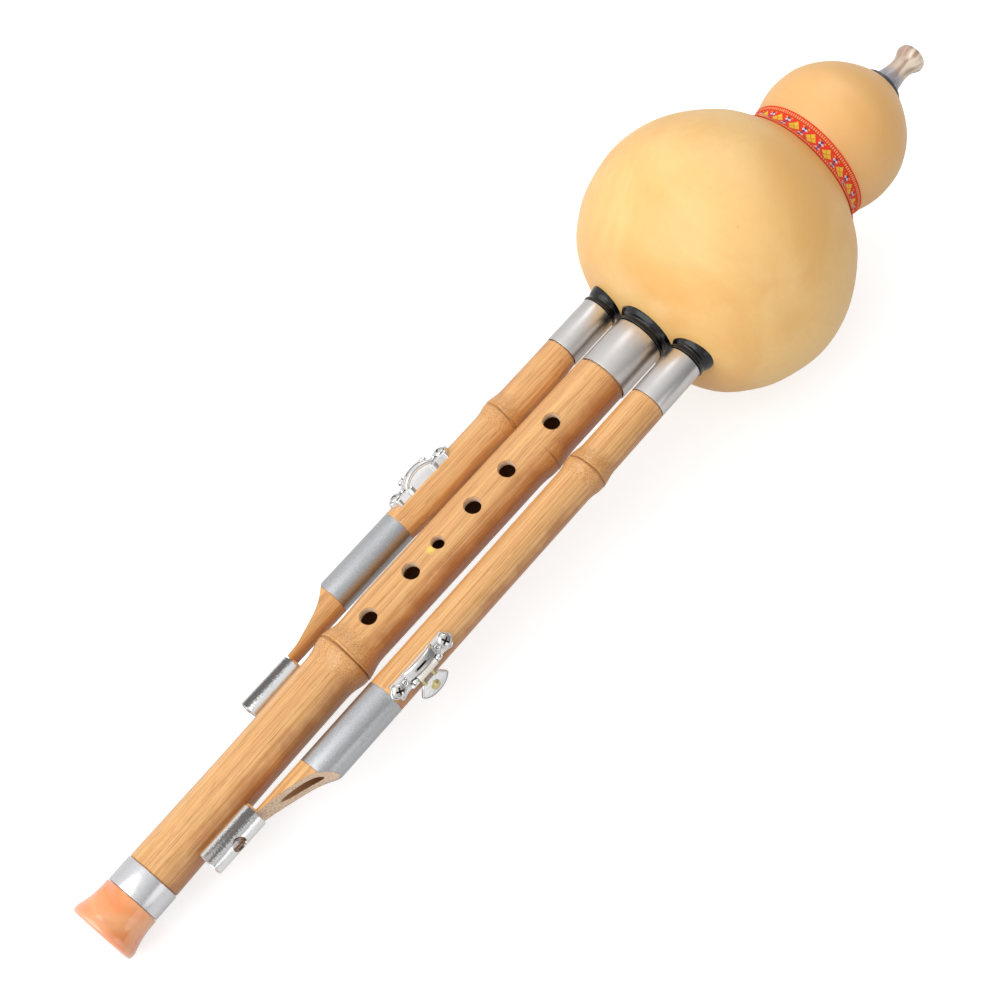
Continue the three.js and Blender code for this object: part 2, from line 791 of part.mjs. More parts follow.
function tailTube(voice) {
  const end = droneStart(voice) - fitGap;
  const start = end - tailLength;
  const tube = ring(start, end, tailRadius - tailWall, tailRadius, smallSides);
  const hole = drill(-tailRadius - cutOverrun, tailRadius + cutOverrun, cordHoleRadius);
  hole.rotateX(-voice.side * radians(voice.cordHoleTurnDegrees));
  hole.translate(start + cordHolePlace, 0, 0);
  const drilled = surface(solid(tube).subtract(solid(hole)));
  drilled.applyMatrix4(tailFrame(voice));
  return drilled.applyMatrix4(voice.frame);
}

// A key's own frame: X along the pipe, Y round it and away from the finger holes, Z out.
function keyFrame(voice) {
  const matrix = new THREE.Matrix4().makeTranslation(keyMiddle(voice), 0, 0);
  matrix.multiply(new THREE.Matrix4().makeRotationX(-voice.side * radians(voice.keyTurnDegrees)));
  if (voice.side < 0) matrix.multiply(new THREE.Matrix4().makeRotationZ(Math.PI));
  return matrix;
}

function placedKeyPiece(geometry, voice) {
  return geometry.applyMatrix4(new THREE.Matrix4().multiplyMatrices(voice.frame, keyFrame(voice)));
}

// The plate's outline: straight sides, a waist, corners beside the screws and a point.
function plateOutline() {
  const halfLength = plateLength / 2;
  const halfWidth = plateWidth / 2;
  const side = plateRunShares.map((share, i) => [share * halfLength, plateWidthShares[i] * halfWidth]);
  const right = [...side, ...side.map(([x, y]) => [x, -y]).reverse()];
  return [...right, ...right.map(([x, y]) => [-x, -y])];
}

// The bow over the pad, with a slot along its top.
function bridge(pipeRadius) {
  const foot = pipeRadius + fitGap * 1.5;
  const rise = bridgeHeight - fitGap * 1.5;
  const half = bridgeLength / 2;
  const bow = (width, height) => new THREE.EllipseCurve(0, foot, width, height, 0, Math.PI);
  const under = bow(half - bridgeStrap, rise - bridgeStrap).getPoints(bowSteps).reverse();
  const points = [...bow(half, rise).getPoints(bowSteps), ...under].map((point) => [point.x, point.y]);
  const arch = carried(points, 0, bridgeWidth);
  arch.rotateX(Math.PI / 2);
  arch.translate(0, bridgeWidth / 2 - bridgeOffset, 0);
  const slotHalf = bridgeSlotWidth / 2;
  const slot = block([-bridgeSlotLength / 2, -slotHalf - bridgeOffset, foot + rise / 2],
    [bridgeSlotLength / 2, slotHalf - bridgeOffset, foot + rise * 2]);
  return solid(arch).subtract(solid(slot));
}

function lug(pipeRadius, end) {
  const foot = pipeRadius;
  const axis = pipeRadius + pinHeight;
  const curve = new THREE.EllipseCurve(pinPlace, axis, barrelRadius, barrelRadius, 0, Math.PI);
  const round = curve.getPoints(5).map((point) => [point.x, point.y]);
  const points = [[pinPlace - barrelRadius, foot], [pinPlace + barrelRadius, foot], ...round];
  const geometry = carried(points, 0, lugWidth);
  geometry.rotateX(Math.PI / 2);
  geometry.rotateZ(Math.PI / 2);
  const inner = barrelLength / 2 + fitGap;
  geometry.translate(end > 0 ? inner : -inner - lugWidth, 0, 0);
  return geometry;
}

function keyBase(voice) {
  const { pipeRadius } = voice;
  const inner = pipeRadius + fitGap;
  const top = inner + plateThickness;
  const half = plateLength / 2 + cutOverrun;
  let base = solid(carried(plateOutline(), 0, top));
  const innerEdge = padRadius + fitGap;
  const window = block([-innerEdge, -padRadius - padSwing, 0], [innerEdge, innerEdge, top + fitGap]);
  const notchHalf = barrelLength / 2 + fitGap;
  const notch = block([-notchHalf, innerEdge + plateBeamWidth, 0], [notchHalf, plateWidth, top + fitGap]);
  base = base.subtract(solid(window)).subtract(solid(notch)).add(bridge(pipeRadius));
  [-1, 1].forEach((end) => {
    base = base.add(solid(lug(pipeRadius, end)));
  });
  base = base.subtract(solid(rod(-half, half, inner, lobeSides)));
  const pinHole = rod(-half, half, pinRadius + fitGap, smallSides / 2);
  pinHole.translate(0, pinPlace, pipeRadius + pinHeight);
  base = base.subtract(solid(pinHole));
  [-1, 1].forEach((end) => {
    const hole = drill(0, pipeRadius + bridgeHeight, screwShankRadius + fitGap, smallSides / 2);
    hole.translate(end * screwSpacing / 2, 0, 0);
    base = base.subtract(solid(hole));
  });
  return placedKeyPiece(surface(base), voice);
}

// The tab: two short arms off the barrel, then a fan with a rounded outer edge.
function tabOutline() {
  const neck = tabNeckWidth / 2;
  const inner = tabInnerWidth / 2;
  const outer = tabOuterWidth / 2;
  const start = barrelRadius / 2;
  const shoulder = barrelRadius + tabNeckLength;
  const armEdge = neck - tabArmWidth;
  const round = new THREE.QuadraticBezierCurve(
    new THREE.Vector2(outer, tabLength * tabWidestShare),
    new THREE.Vector2(outer * tabWidestShare, tabLength),
    new THREE.Vector2(0, tabLength),
  );
  const half = [[armEdge, shoulder], [armEdge, start], [neck, start], [neck, shoulder], [inner, shoulder],
    ...round.getPoints(5).map((point) => [point.x, point.y])];
  const mirrored = half.slice(0, -1).map(([x, y]) => [-x, y]).reverse();
  return [...half, ...mirrored].map(([x, y]) => [x + tabOffset, y]);
}

// The tab's own frame starts on the pin's axis and slopes down, outward.
function tabFrame(pipeRadius) {
  const matrix = new THREE.Matrix4().makeTranslation(0, pinPlace, pipeRadius + pinHeight);
  return matrix.multiply(new THREE.Matrix4().makeRotationX(-radians(tabSlopeDegrees)));
}

function keyLever(voice) {
  const { pipeRadius } = voice;
  const axis = pipeRadius + pinHeight;
  const half = barrelLength / 2;
  const springRoom = springTurns * springPitch + springWire + fitGap;
  const barrel = rod(-half + springRoom, half, barrelRadius, smallSides / 2);
  barrel.translate(0, pinPlace, axis);
  const armBottom = pipeRadius + fitGap * 2 + padThickness;
  const arm = block([-armWidth / 2, pinPlace - armReach, armBottom],
    [armWidth / 2, pinPlace, armBottom + armThickness]);
  const tab = carried(tabOutline(), -tabThickness / 2, tabThickness).applyMatrix4(tabFrame(pipeRadius));
  const rivetHole = drill(-tabThickness * 2, tabThickness * 2, buttonRadius * buttonShankShare + fitGap);
  rivetHole.translate(tabOffset, tabLength * buttonPlaceShare, 0);
  rivetHole.applyMatrix4(tabFrame(pipeRadius));
  const bore = rod(-half, half + cutOverrun, pinRadius + fitGap, smallSides / 2);
  bore.translate(0, pinPlace, axis);
  const room = rod(-half - cutOverrun, -half + springRoom, barrelRadius + fitGap, smallSides / 2);
  room.translate(0, pinPlace, axis);
  let lever = solid(barrel).add(solid(arm)).add(solid(tab)).subtract(solid(rivetHole));
  lever = lever.subtract(solid(bore)).subtract(solid(room));
  return placedKeyPiece(surface(lever), voice);
}

function keyButton(voice) {
  const shank = buttonRadius * buttonShankShare;
  const top = tabThickness + fitGap;
  const button = turned([
    [-tabThickness / 2, 0],
    [-tabThickness / 2, shank],
    [top, shank],
    [top, buttonRadius],
    [top + buttonHeight * 0.5, buttonRadius * 0.9],
    [top + buttonHeight, buttonRadius * 0.4],
    [top + buttonHeight, 0],
  ], screwSides);
  button.rotateY(-Math.PI / 2);
  button.translate(tabOffset, tabLength * buttonPlaceShare, 0);
  button.applyMatrix4(tabFrame(voice.pipeRadius));
  return placedKeyPiece(button, voice);
}

function keyPin(voice) {
  const half = barrelLength / 2 + fitGap + lugWidth;
  const pin = rod(-half, half, pinRadius, smallSides / 2);
  pin.translate(0, pinPlace, voice.pipeRadius + pinHeight);
  return placedKeyPiece(pin, voice);
}

function keyPad(voice) {
  const bottom = voice.pipeRadius + fitGap;
  const disc = drill(0, bottom + padThickness, padRadius, holeSides);
  const skin = rod(-padRadius - cutOverrun, padRadius + cutOverrun, bottom, lobeSides);
  return placedKeyPiece(surface(solid(disc).subtract(solid(skin))), voice);
}

function keyScrew(voice, end) {
  const seat = voice.pipeRadius + fitGap * 2 + plateThickness;
  const screw = solid(turned([
    [seat - screwShankLength, 0],
    [seat - screwShankLength, screwShankRadius],
    [seat, screwShankRadius],
    [seat, screwHeadRadius],
    [seat + screwHeadHeight * 0.45, screwHeadRadius * 0.92],
    [seat + screwHeadHeight, screwHeadRadius * 0.45],
    [seat + screwHeadHeight, 0],
  ], screwSides).rotateY(-Math.PI / 2));
  const reach = screwHeadRadius * 0.55;
  const slotBottom = seat + screwHeadHeight * 0.45;
  const halfSlot = screwSlotWidth / 2;
  const across = block([-reach, -halfSlot, slotBottom], [reach, halfSlot, seat + cutOverrun]);
  const along = block([-halfSlot, -reach, slotBottom], [halfSlot, reach, seat + cutOverrun]);
  const slotted = surface(screw.subtract(solid(across)).subtract(solid(along)));
  slotted.translate(end * screwSpacing / 2, 0, 0);
  return placedKeyPiece(slotted, voice);
}

// A coil round the pin, one unbroken wire with flat-sided turns.
function keySpring(voice) {
  class Coil extends THREE.Curve {
    getPoint(share, target = new THREE.Vector3()) {
      const angle = share * springTurns * Math.PI * 2;
      return target.set(share * springTurns * springPitch, springRadius * Math.cos(angle),
        springRadius * Math.sin(angle));
    }
  }
  const coil = new Coil();
  const points = [];
  for (let i = 0; i < springSides; i += 1) {
    const angle = i / springSides * Math.PI * 2;
    points.push(new THREE.Vector2(springWire / 2 * Math.cos(angle), springWire / 2 * Math.sin(angle)));
  }
  const geometry = welded(new THREE.ExtrudeGeometry(new THREE.Shape(points), {
    steps: springTurns * springSteps, extrudePath: coil, bevelEnabled: false,
  }));
  geometry.translate(-barrelLength / 2 + springWire / 2, pinPlace, voice.pipeRadius + pinHeight);
  console.log(`${voice.name} spring, least gap between turns: ${coilGap(coil).toFixed(2)} mm`);
  return placedKeyPiece(geometry, voice);
}

// The least distance between points of the wire more than half a turn apart, less its width.
function coilGap(coil) {
  const count = springTurns * springSteps * 4;
  const points = coil.getPoints(count);
  const apart = count / springTurns / 2;
  let least = Infinity;
  for (let i = 0; i <= count; i += 1) {
    for (let j = i + apart; j <= count; j += 1) {
      least = Math.min(least, points[i].distanceTo(points[j]));
    }
  }
  return least - springWire;
}

// A band that follows the waist, cut square at both edges.
function waistRibbon() {
  const middle = gourdBase + ribbonPlace;
  const half = ribbonWidth / 2;
  const slice = leaned(rod(middle - half, middle + half, smallLobeRadius + cutOverrun, lobeSides));
  const outside = solid(gourdOuter(fitGap + ribbonThickness)).intersect(solid(slice));
  return surface(outside.subtract(solid(gourdOuter(fitGap))));
}

function mouthpieceBase() {
  const bore = mouthTenonRadius + fitGap;
  const bottom = gourdTip - mouthBaseHeight;
  const top = gourdTip + mouthBaseRim * 2;
  const ringEnd = gourdTip - mouthBaseRim;
  const cone = turned([
    [bottom, bore],
    [bottom, mouthBaseRadius],
    [ringEnd - mouthBaseRim, mouthBaseRadius],
    [ringEnd, mouthBaseRadius - mouthBaseRim],
    [gourdTip, (mouthBaseRadius + mouthBaseTopRadius) / 2],
    [top, mouthBaseTopRadius + mouthBaseRim / 2],
    [top + mouthBaseRim, mouthBaseTopRadius],
    [top + mouthBaseRim, bore],
    [bottom, bore],
  ], droneSides);
  return surface(solid(leaned(cone)).subtract(solid(gourdOuter(fitGap))));
}

function mouthpiece() {
  const foot = gourdTip + mouthBaseRim * 3 + fitGap;
  const tip = foot + mouthLength;
  const tenonEnd = foot - mouthTenonLength;
  const rise = mouthFlareRadius - mouthNeckRadius;
  const outline = [
    [tenonEnd, mouthBoreRadius],
    [tenonEnd, mouthTenonRadius],
    [foot, mouthTenonRadius],
    [foot, mouthFootRadius],
    [foot + mouthLength * 0.12, mouthFootRadius - rise * 0.2],
    [foot + mouthLength * 0.28, mouthNeckRadius + rise * 0.12],
    [foot + mouthLength * 0.45, mouthNeckRadius],
    [foot + mouthLength * 0.62, mouthNeckRadius + rise * 0.2],
    [foot + mouthLength * 0.76, mouthNeckRadius + rise * 0.75],
    [foot + mouthLength * 0.84, mouthFlareRadius],
    [foot + mouthLength * 0.93, mouthFlareRadius - rise * 0.15],
    [tip, mouthFlareRadius - rise * 0.7],
    [tip, mouthBoreRadius],
    [tenonEnd, mouthBoreRadius],
  ];
  return leaned(turned(outline, smallSides));
}

function lowerEnd() {
  const group = new THREE.Group();
  group.add(piece('bell', bell(), agateResin));
  group.add(piece('end_ferrule', endFerrule(), polishedSteel));
  group.applyMatrix4(bendFrame());
  return group;
}

function wind() {
  const group = new THREE.Group();
  group.add(piece('gourd_shell', gourdShell(), gourdSkin));
  group.add(piece('waist_ribbon', waistRibbon(), wovenRibbon));
  group.add(piece('mouthpiece_base', mouthpieceBase(), darkHorn));
  group.add(piece('mouthpiece', mouthpiece(), horn));
  voices.forEach((voice) => {
    group.add(piece(`${voice.name}_collar`, collar(voice), blackResin));
    group.add(piece(`${voice.name}_reed_tube`, reedTube(voice), cane));
    group.add(piece(`${voice.name}_reed`, reed(voice), brass));
    group.add(piece(`${voice.name}_wax_seal`, waxSeal(voice), beeswax));
  });
  return group;
}

function mainVoiceGroup() {
  const group = new THREE.Group();
  group.add(piece('main_pipe', mainPipe(), bamboo));
  group.add(piece('main_ferrule', ferrule(mainVoice), brushedSteel));
  group.add(lowerEnd());
  return group;
}

function droneGroup(voice) {
  const { name } = voice;
  const group = new THREE.Group();
  group.add(piece(`${name}_drone_pipe`, dronePipe(voice), bamboo));
  group.add(piece(`${name}_ferrule`, ferrule(voice), brushedSteel));
  group.add(piece(`${name}_sleeve`, sleeve(voice), satinAluminium));
  group.add(piece(`${name}_tail_tube`, tailTube(voice), polishedSteel));
  group.add(piece(`${name}_key_base`, keyBase(voice), polishedSteel));
  group.add(piece(`${name}_key_lever`, keyLever(voice), polishedSteel));
  group.add(piece(`${name}_key_button`, keyButton(voice), brass));
  group.add(piece(`${name}_key_pin`, keyPin(voice), springSteel));
  group.add(piece(`${name}_key_pad`, keyPad(voice), leather));
  group.add(piece(`${name}_key_spring`, keySpring(voice), springSteel));
  group.add(piece(`${name}_key_screw_lower`, keyScrew(voice, -1), polishedSteel));
  group.add(piece(`${name}_key_screw_upper`, keyScrew(voice, 1), polishedSteel));
  return group;
}

// The lean of the lying pipes: the line that touches both the bell's rim and the big lobe.
function lyingPitch() {
  const rimX = bellRimWidth / 2;
  const rimDepth = bellMouthRadius * Math.cos(Math.PI / bellSides);
  const slopes = gourdOutline(0, outlineSteps).map(([along, radius]) => (
    Math.atan2(radius * Math.cos(Math.PI / lobeSides) - rimDepth, along - rimX)
  ));
  return Math.max(...slopes);
}

const instrument = new THREE.Group();
instrument.add(wind(), mainVoiceGroup(), droneGroup(leftVoice), droneGroup(rightVoice));
instrument.rotation.y = -lyingPitch();

const hulusi = new THREE.Group();
hulusi.add(instrument);
hulusi.updateMatrixWorld(true);
const reachBox = new THREE.Box3().setFromObject(hulusi, true);
const middle = reachBox.getCenter(new THREE.Vector3());
instrument.position.set(-middle.x, -middle.y, -reachBox.min.z);

export default hulusi;
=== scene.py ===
import math
from types import SimpleNamespace

import bmesh
import bpy
import numpy as np
from mathutils import Matrix


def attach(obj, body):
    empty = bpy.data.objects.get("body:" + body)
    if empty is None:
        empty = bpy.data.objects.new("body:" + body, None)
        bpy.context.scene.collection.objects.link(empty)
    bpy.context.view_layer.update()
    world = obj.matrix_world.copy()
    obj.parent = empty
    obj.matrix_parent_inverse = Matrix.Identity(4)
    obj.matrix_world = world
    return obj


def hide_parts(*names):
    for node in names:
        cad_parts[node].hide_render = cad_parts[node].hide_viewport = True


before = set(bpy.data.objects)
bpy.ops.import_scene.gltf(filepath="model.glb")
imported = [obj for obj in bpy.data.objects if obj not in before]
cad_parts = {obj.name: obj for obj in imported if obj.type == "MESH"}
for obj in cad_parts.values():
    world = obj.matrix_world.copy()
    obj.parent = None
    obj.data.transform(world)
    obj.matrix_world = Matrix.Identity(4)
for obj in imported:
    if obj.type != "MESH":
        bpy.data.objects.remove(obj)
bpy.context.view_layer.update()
print("frame loaded")

tau = 2 * math.pi
fitGap = 0.3  # the solids stand this far apart where one piece fits another

# Lengths along the pipes, and the way the whole instrument lies on the table.
layout = {
    "bellLength": 15.8, "endRingLength": 10.4, "pipeShown": 246.0, "mainFerruleLength": 21.2,
    "collarLength": 4.6, "droneCollarStep": 1.3, "socketSpacing": 21.9, "socketTurn": 11.8,
    "nodePlace": 101.8, "bendDegrees": 1.3, "gourdLean": 2.6, "gourdLeanPlace": 64.4,
    "pitchDegrees": 7.1004, "tableShift": (-228.1359, -0.7497, 12.9383),
}
endRingStart = layout["bellLength"] + fitGap
pipeFoot = endRingStart + layout["endRingLength"] + fitGap
nodeX = pipeFoot + layout["nodePlace"]
pipeHead = pipeFoot + layout["pipeShown"]
mainCollarStart = pipeHead + fitGap + layout["mainFerruleLength"] + fitGap
droneCollarStart = mainCollarStart + layout["droneCollarStep"]
gourdBase = mainCollarStart + layout["collarLength"]


def shift(x, y, z):
    matrix = np.eye(4)
    matrix[:3, 3] = (x, y, z)
    return matrix


def turn(axis, degrees):
    return np.array(Matrix.Rotation(math.radians(degrees), 4, axis))


def about(x, matrix):
    # the same turn, made about a point on the pipe's axis
    return shift(x, 0, 0) @ matrix @ shift(-x, 0, 0)


table = shift(*layout["tableShift"]) @ turn("Y", -layout["pitchDegrees"])
straight = np.eye(4)
bent = about(nodeX, turn("Z", layout["bendDegrees"]))
leaned = about(gourdBase + layout["gourdLeanPlace"], turn("Z", -layout["gourdLean"]))


def droneFrame(side, splay):
    # beside the main pipe, and turned out by the splay about the middle of its collar's edge
    tilt = math.radians(layout["socketTurn"])
    y = side * layout["socketSpacing"] * math.cos(tilt)
    z = -side * layout["socketSpacing"] * math.sin(tilt)
    return shift(droneCollarStart, y, z) @ turn("Z", -side * splay) @ shift(-droneCollarStart, 0, 0)


def moved(points, place):
    # each point, as a row, multiplied by the place's matrix
    flat = np.concatenate([points, np.ones(points.shape[:-1] + (1,))], axis=-1)
    return (flat @ place.T)[..., :3]


def gridQuads(rows, columns, closedRows, closedColumns):
    # corner numbers of every cell of the grid: this point, the next column's, the next row's
    i = np.arange(rows if closedRows else rows - 1)[:, None]
    j = np.arange(columns if closedColumns else columns - 1)[None, :]
    right = (j + 1) % columns
    below = (i + 1) % rows
    corners = [i * columns + j, i * columns + right, below * columns + right, below * columns + j]
    return np.stack(corners, axis=-1).reshape(-1, 4)


def circle(sides):
    return np.arange(sides) / sides * tau


def turnedGrid(profile, sides, swell=None):
    # point = (place, (radius + swell) * sin(angle), (radius + swell) * cos(angle))
    angle = circle(sides)
    place = np.repeat(profile[:, :1], sides, axis=1)
    radius = np.repeat(profile[:, 1:2], sides, axis=1)
    grown = radius + (swell(place, angle[None, :], radius) if swell else 0)
    return np.stack([place, grown * np.sin(angle), grown * np.cos(angle)], axis=-1)


def curve(t, first, middle, last):
    # (1 - t)^2 first + 2 t (1 - t) middle + t^2 last
    return (1 - t) ** 2 * first + 2 * t * (1 - t) * middle + t ** 2 * last


def rounded(corners, radius, steps=5):
    # each corner becomes a curve between the points that lie the radius before and after it
    corners = np.array(corners, float)
    size = np.broadcast_to(np.array(radius, float), (len(corners),))[:, None]
    ends = []
    for step in (1, -1):
        way = np.roll(corners, step, axis=0) - corners
        reach = np.linalg.norm(way, axis=1, keepdims=True)
        ends.append((corners + way / reach * np.minimum(size, reach * 0.45))[:, None])
    t = np.linspace(0, 1, steps)[None, :, None]
    return curve(t, ends[0], corners[:, None], ends[1]).reshape(-1, 2)


def throughPoints(points, count):
    # a smooth curve through the points: the cubic that keeps each point's slope at half the
    # step between its neighbours
    points = np.array(points, float)
    place = np.linspace(0, len(points) - 1, count)
    first = np.minimum(place.astype(int), len(points) - 2)
    weight = (place - first)[:, None]
    p0, p1, p2, p3 = (points[np.clip(first + step, 0, len(points) - 1)] for step in (-1, 0, 1, 2))
    v0 = (p2 - p0) / 2
    v1 = (p3 - p1) / 2
    return ((2 * p1 - 2 * p2 + v0 + v1) * weight ** 3 + (-3 * p1 + 3 * p2 - 2 * v0 - v1) * weight ** 2
            + v0 * weight + p1)


def capped(grid, ends):
    # a row of one repeated point before the grid and one after it close it at both ends
    centres = ends[:, None] * np.ones((1, grid.shape[1], 1))
    return np.concatenate([centres[:1], grid, centres[1:]])


def tubeGrid(path, radius, sides, flatten=1.0):
    # a circle carried along the path, across its direction, and closed; flatten narrows it sideways
    step = np.gradient(path, axis=0)
    along = step / np.linalg.norm(step, axis=1, keepdims=True)
    side = np.cross(along, np.array([0.0, 0.31, 0.95]))
    side /= np.linalg.norm(side, axis=1, keepdims=True)
    up = np.cross(side, along)
    angle = circle(sides)
    size = np.broadcast_to(np.array(radius, float), (len(path),))[:, None, None]
    grid = (path[:, None] + size * (flatten * np.cos(angle)[None, :, None] * side[:, None]
            + np.sin(angle)[None, :, None] * up[:, None]))
    return capped(grid, path[[0, -1]])


def scaledRows(outline, centre, rows, order=(0, 1, 2)):
    # the outline, drawn in towards its centre by each row's share, at each row's height; order
    # says where the height and the outline's two numbers go
    grid = [np.concatenate([np.full((len(outline), 1), height), centre + (outline - centre) * share], axis=1)
            for height, share in rows]
    return np.array(grid)[..., list(order)]


def drillGrid(start, end, radius, sides):
    # a closed cylinder along x
    return turnedGrid(rounded([[start, 0.02], [start, radius], [end, radius], [end, 0.02]], 0.01, 2), sides)


def signedVolume(points, quads):
    a, b, c, d = (points[quads[:, k]] for k in range(4))
    first = np.einsum("ij,ij->i", a, np.cross(b, c)).sum()
    return first + np.einsum("ij,ij->i", a, np.cross(c, d)).sum()


def addMesh(name, grids, place, material=None, closedRows=True, closedColumns=True, uv=None, sharp=34):
    # each grid ends up facing out; where it isn't closed both ways, points that meet are merged
    allPoints, allQuads, start = [], [], 0
    for grid in grids if isinstance(grids, list) else [grids]:
        quads = gridQuads(grid.shape[0], grid.shape[1], closedRows, closedColumns)
        points = grid.reshape(-1, 3)
        if signedVolume(points - points.mean(axis=0), quads) < 0:
            quads = quads[:, ::-1]
        allPoints.append(points)
        allQuads.append(quads + start)
        start += len(points)
    points = moved(np.concatenate(allPoints), table @ place) * 0.001
    mesh = bpy.data.meshes.new(name)
    mesh.from_pydata(points.tolist(), [], np.concatenate(allQuads).tolist())
    if uv is not None:
        layer = mesh.uv_layers.new(name="wrap")
        layer.data.foreach_set("uv", uv.astype(np.float32).ravel())
    if not (closedRows and closedColumns):
        work = bmesh.new()
        work.from_mesh(mesh)
        bmesh.ops.remove_doubles(work, verts=work.verts, dist=2e-6)
        work.to_mesh(mesh)
        work.free()
    piece = addObject(name, mesh)
    if material:
        mesh.materials.append(material)
    smooth(piece, sharp)
    return piece


def addObject(name, data):
    piece = bpy.data.objects.new(name, data)
    bpy.context.scene.collection.objects.link(piece)
    return piece


def smooth(piece, sharp):
    mesh = piece.data
    mesh.polygons.foreach_set("use_smooth", np.ones(len(mesh.polygons), bool))
    mesh.set_sharp_from_angle(angle=math.radians(sharp))
    mesh.update()


def carve(piece, cutters, sharp=34):
    # takes the cutters' shapes out of the piece
    for cutter in cutters:
        step = piece.modifiers.new("cut", "BOOLEAN")
        step.operation = "DIFFERENCE"
        step.solver = "MANIFOLD"
        step.object = cutter
    graph = bpy.context.evaluated_depsgraph_get()
    mesh = bpy.data.meshes.new_from_object(piece.evaluated_get(graph))
    piece.modifiers.clear()
    piece.data = mesh
    for cutter in cutters:
        bpy.data.objects.remove(cutter)
    smooth(piece, sharp)


def settle(piece, body, slot, *nodes):
    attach(piece, body)
    if nodes:
        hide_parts(*nodes)


def rgba(red, green, blue):
    # a colour as a screen shows it, made linear
    return (*(((v / 255 + 0.055) / 1.055) ** 2.4 if v > 10 else v / 255 / 12.92
              for v in (red, green, blue)), 1)


def dimmed(colour, share):
    # the same tint, darker
    return tuple(v * share for v in colour)


class Value:
    # a socket in a formula: each operation on it adds a maths node and gives that node's value
    def __init__(self, paint, socket):
        self.paint = paint
        self.socket = socket

    def maths(self, operation, *others):
        return self.paint.add("ShaderNodeMath", dict(enumerate((self, *others))), operation=operation)

    def __add__(self, other):
        return self.maths("ADD", other)

    def __sub__(self, other):
        return self.maths("SUBTRACT", other)

    def __rsub__(self, other):
        return self.paint.add("ShaderNodeMath", {0: other, 1: self}, operation="SUBTRACT")

    def __mul__(self, other):
        return self.maths("MULTIPLY", other)

    def __truediv__(self, other):
        return self.maths("DIVIDE", other)

    def __abs__(self):
        return self.maths("ABSOLUTE")

    def between(self, low, high, first=0.0, last=1.0):
        # a smooth step from first to last as the value goes from low to high
        return self.paint.add("ShaderNodeMapRange", {0: self, 1: low, 2: high, 3: first, 4: last},
                              interpolation_type="SMOOTHSTEP")


class Paint:
    # a node tree to add to, and the sockets at its end
    def __init__(self, tree, ends, material=None):
        self.tree = tree
        self.ends = ends
        self.material = material

    def give(self, value, socket):
        if isinstance(value, Value):
            self.tree.links.new(value.socket, socket)
        else:
            socket.default_value = value

    def set(self, **values):
        for key, value in values.items():
            self.give(value, self.ends[key.replace("_", " ")])

    def node(self, kind, values=None, **settings):
        node = self.tree.nodes.new(kind)
        for key, value in settings.items():
            setattr(node, key, value)
        for key, value in (values or {}).items():
            self.give(value, node.inputs[key])
        return node

    def add(self, kind, values=None, output=0, **settings):
        return Value(self, self.node(kind, values, **settings).outputs[output])

    def parts(self, vector):
        return [Value(self, socket) for socket in self.node("ShaderNodeSeparateXYZ", {0: vector}).outputs]

    def stretched(self, vector, scale):
        return self.add("ShaderNodeVectorMath", {0: vector, 1: scale}, operation="MULTIPLY")

    def noise(self, vector, scale, detail=2.0, roughness=0.5, distortion=0.0):
        return self.add("ShaderNodeTexNoise", {"Vector": vector, "Scale": scale, "Detail": detail,
                        "Roughness": roughness, "Distortion": distortion})

    def cells(self, vector, scale=1.0):
        return self.add("ShaderNodeTexVoronoi", {"Vector": vector, "Scale": scale, "Randomness": 1.0})

    def mix(self, share, first, second):
        first, second = (c if isinstance(c, Value) else rgba(*c) for c in (first, second))
        return self.add("ShaderNodeMix", {0: share, 6: first, 7: second}, 2, data_type="RGBA")

    def ramp(self, value, *stops):
        node = self.node("ShaderNodeValToRGB", {0: value})
        points = node.color_ramp.elements
        while len(points) < len(stops):
            points.new(0.5)
        for point, (place, colour) in zip(points, stops):
            point.position = place
            point.color = rgba(*colour)
        return Value(self, node.outputs[0])

    def bump(self, height, strength, distance):
        self.set(Normal=self.add("ShaderNodeBump", {"Height": height, "Strength": strength,
                                                    "Distance": distance * 0.001}))

    def ownSpace(self, place):
        # Object coordinates taken back to the piece's own frame, in millimetres
        back = Matrix(np.linalg.inv(table @ place).tolist())
        return self.add("ShaderNodeMapping", {
            "Vector": self.add("ShaderNodeTexCoord", output="Object"), "Location": back.to_translation(),
            "Rotation": back.to_euler("XYZ"), "Scale": (1000, 1000, 1000)})

    def group(self, group, **values):
        node = self.node("ShaderNodeGroup")
        node.node_tree = group
        for key, value in values.items():
            self.give(value, node.inputs[key])
        return {socket.name: Value(self, socket) for socket in node.outputs}


def newMaterial(name, **values):
    material = bpy.data.materials.new(name)
    material.use_nodes = True
    paint = Paint(material.node_tree, material.node_tree.nodes["Principled BSDF"].inputs, material)
    paint.set(**values)
    return paint


def newGroup(name, *results, **numbers):
    # a shared group that takes a vector and some numbers and puts out some numbers
    group = bpy.data.node_groups.new(name, "ShaderNodeTree")
    group.interface.new_socket("Vector", in_out="INPUT", socket_type="NodeSocketVector")
    for label, number in numbers.items():
        socket = group.interface.new_socket(label, in_out="INPUT", socket_type="NodeSocketFloat")
        socket.default_value = number
    for label in results:
        group.interface.new_socket(label, in_out="OUTPUT", socket_type="NodeSocketFloat")
    entry = group.nodes.new("NodeGroupInput")
    paint = Paint(group, group.nodes.new("NodeGroupOutput").inputs)
    return group, paint, [Value(paint, socket) for socket in entry.outputs[:-1]]


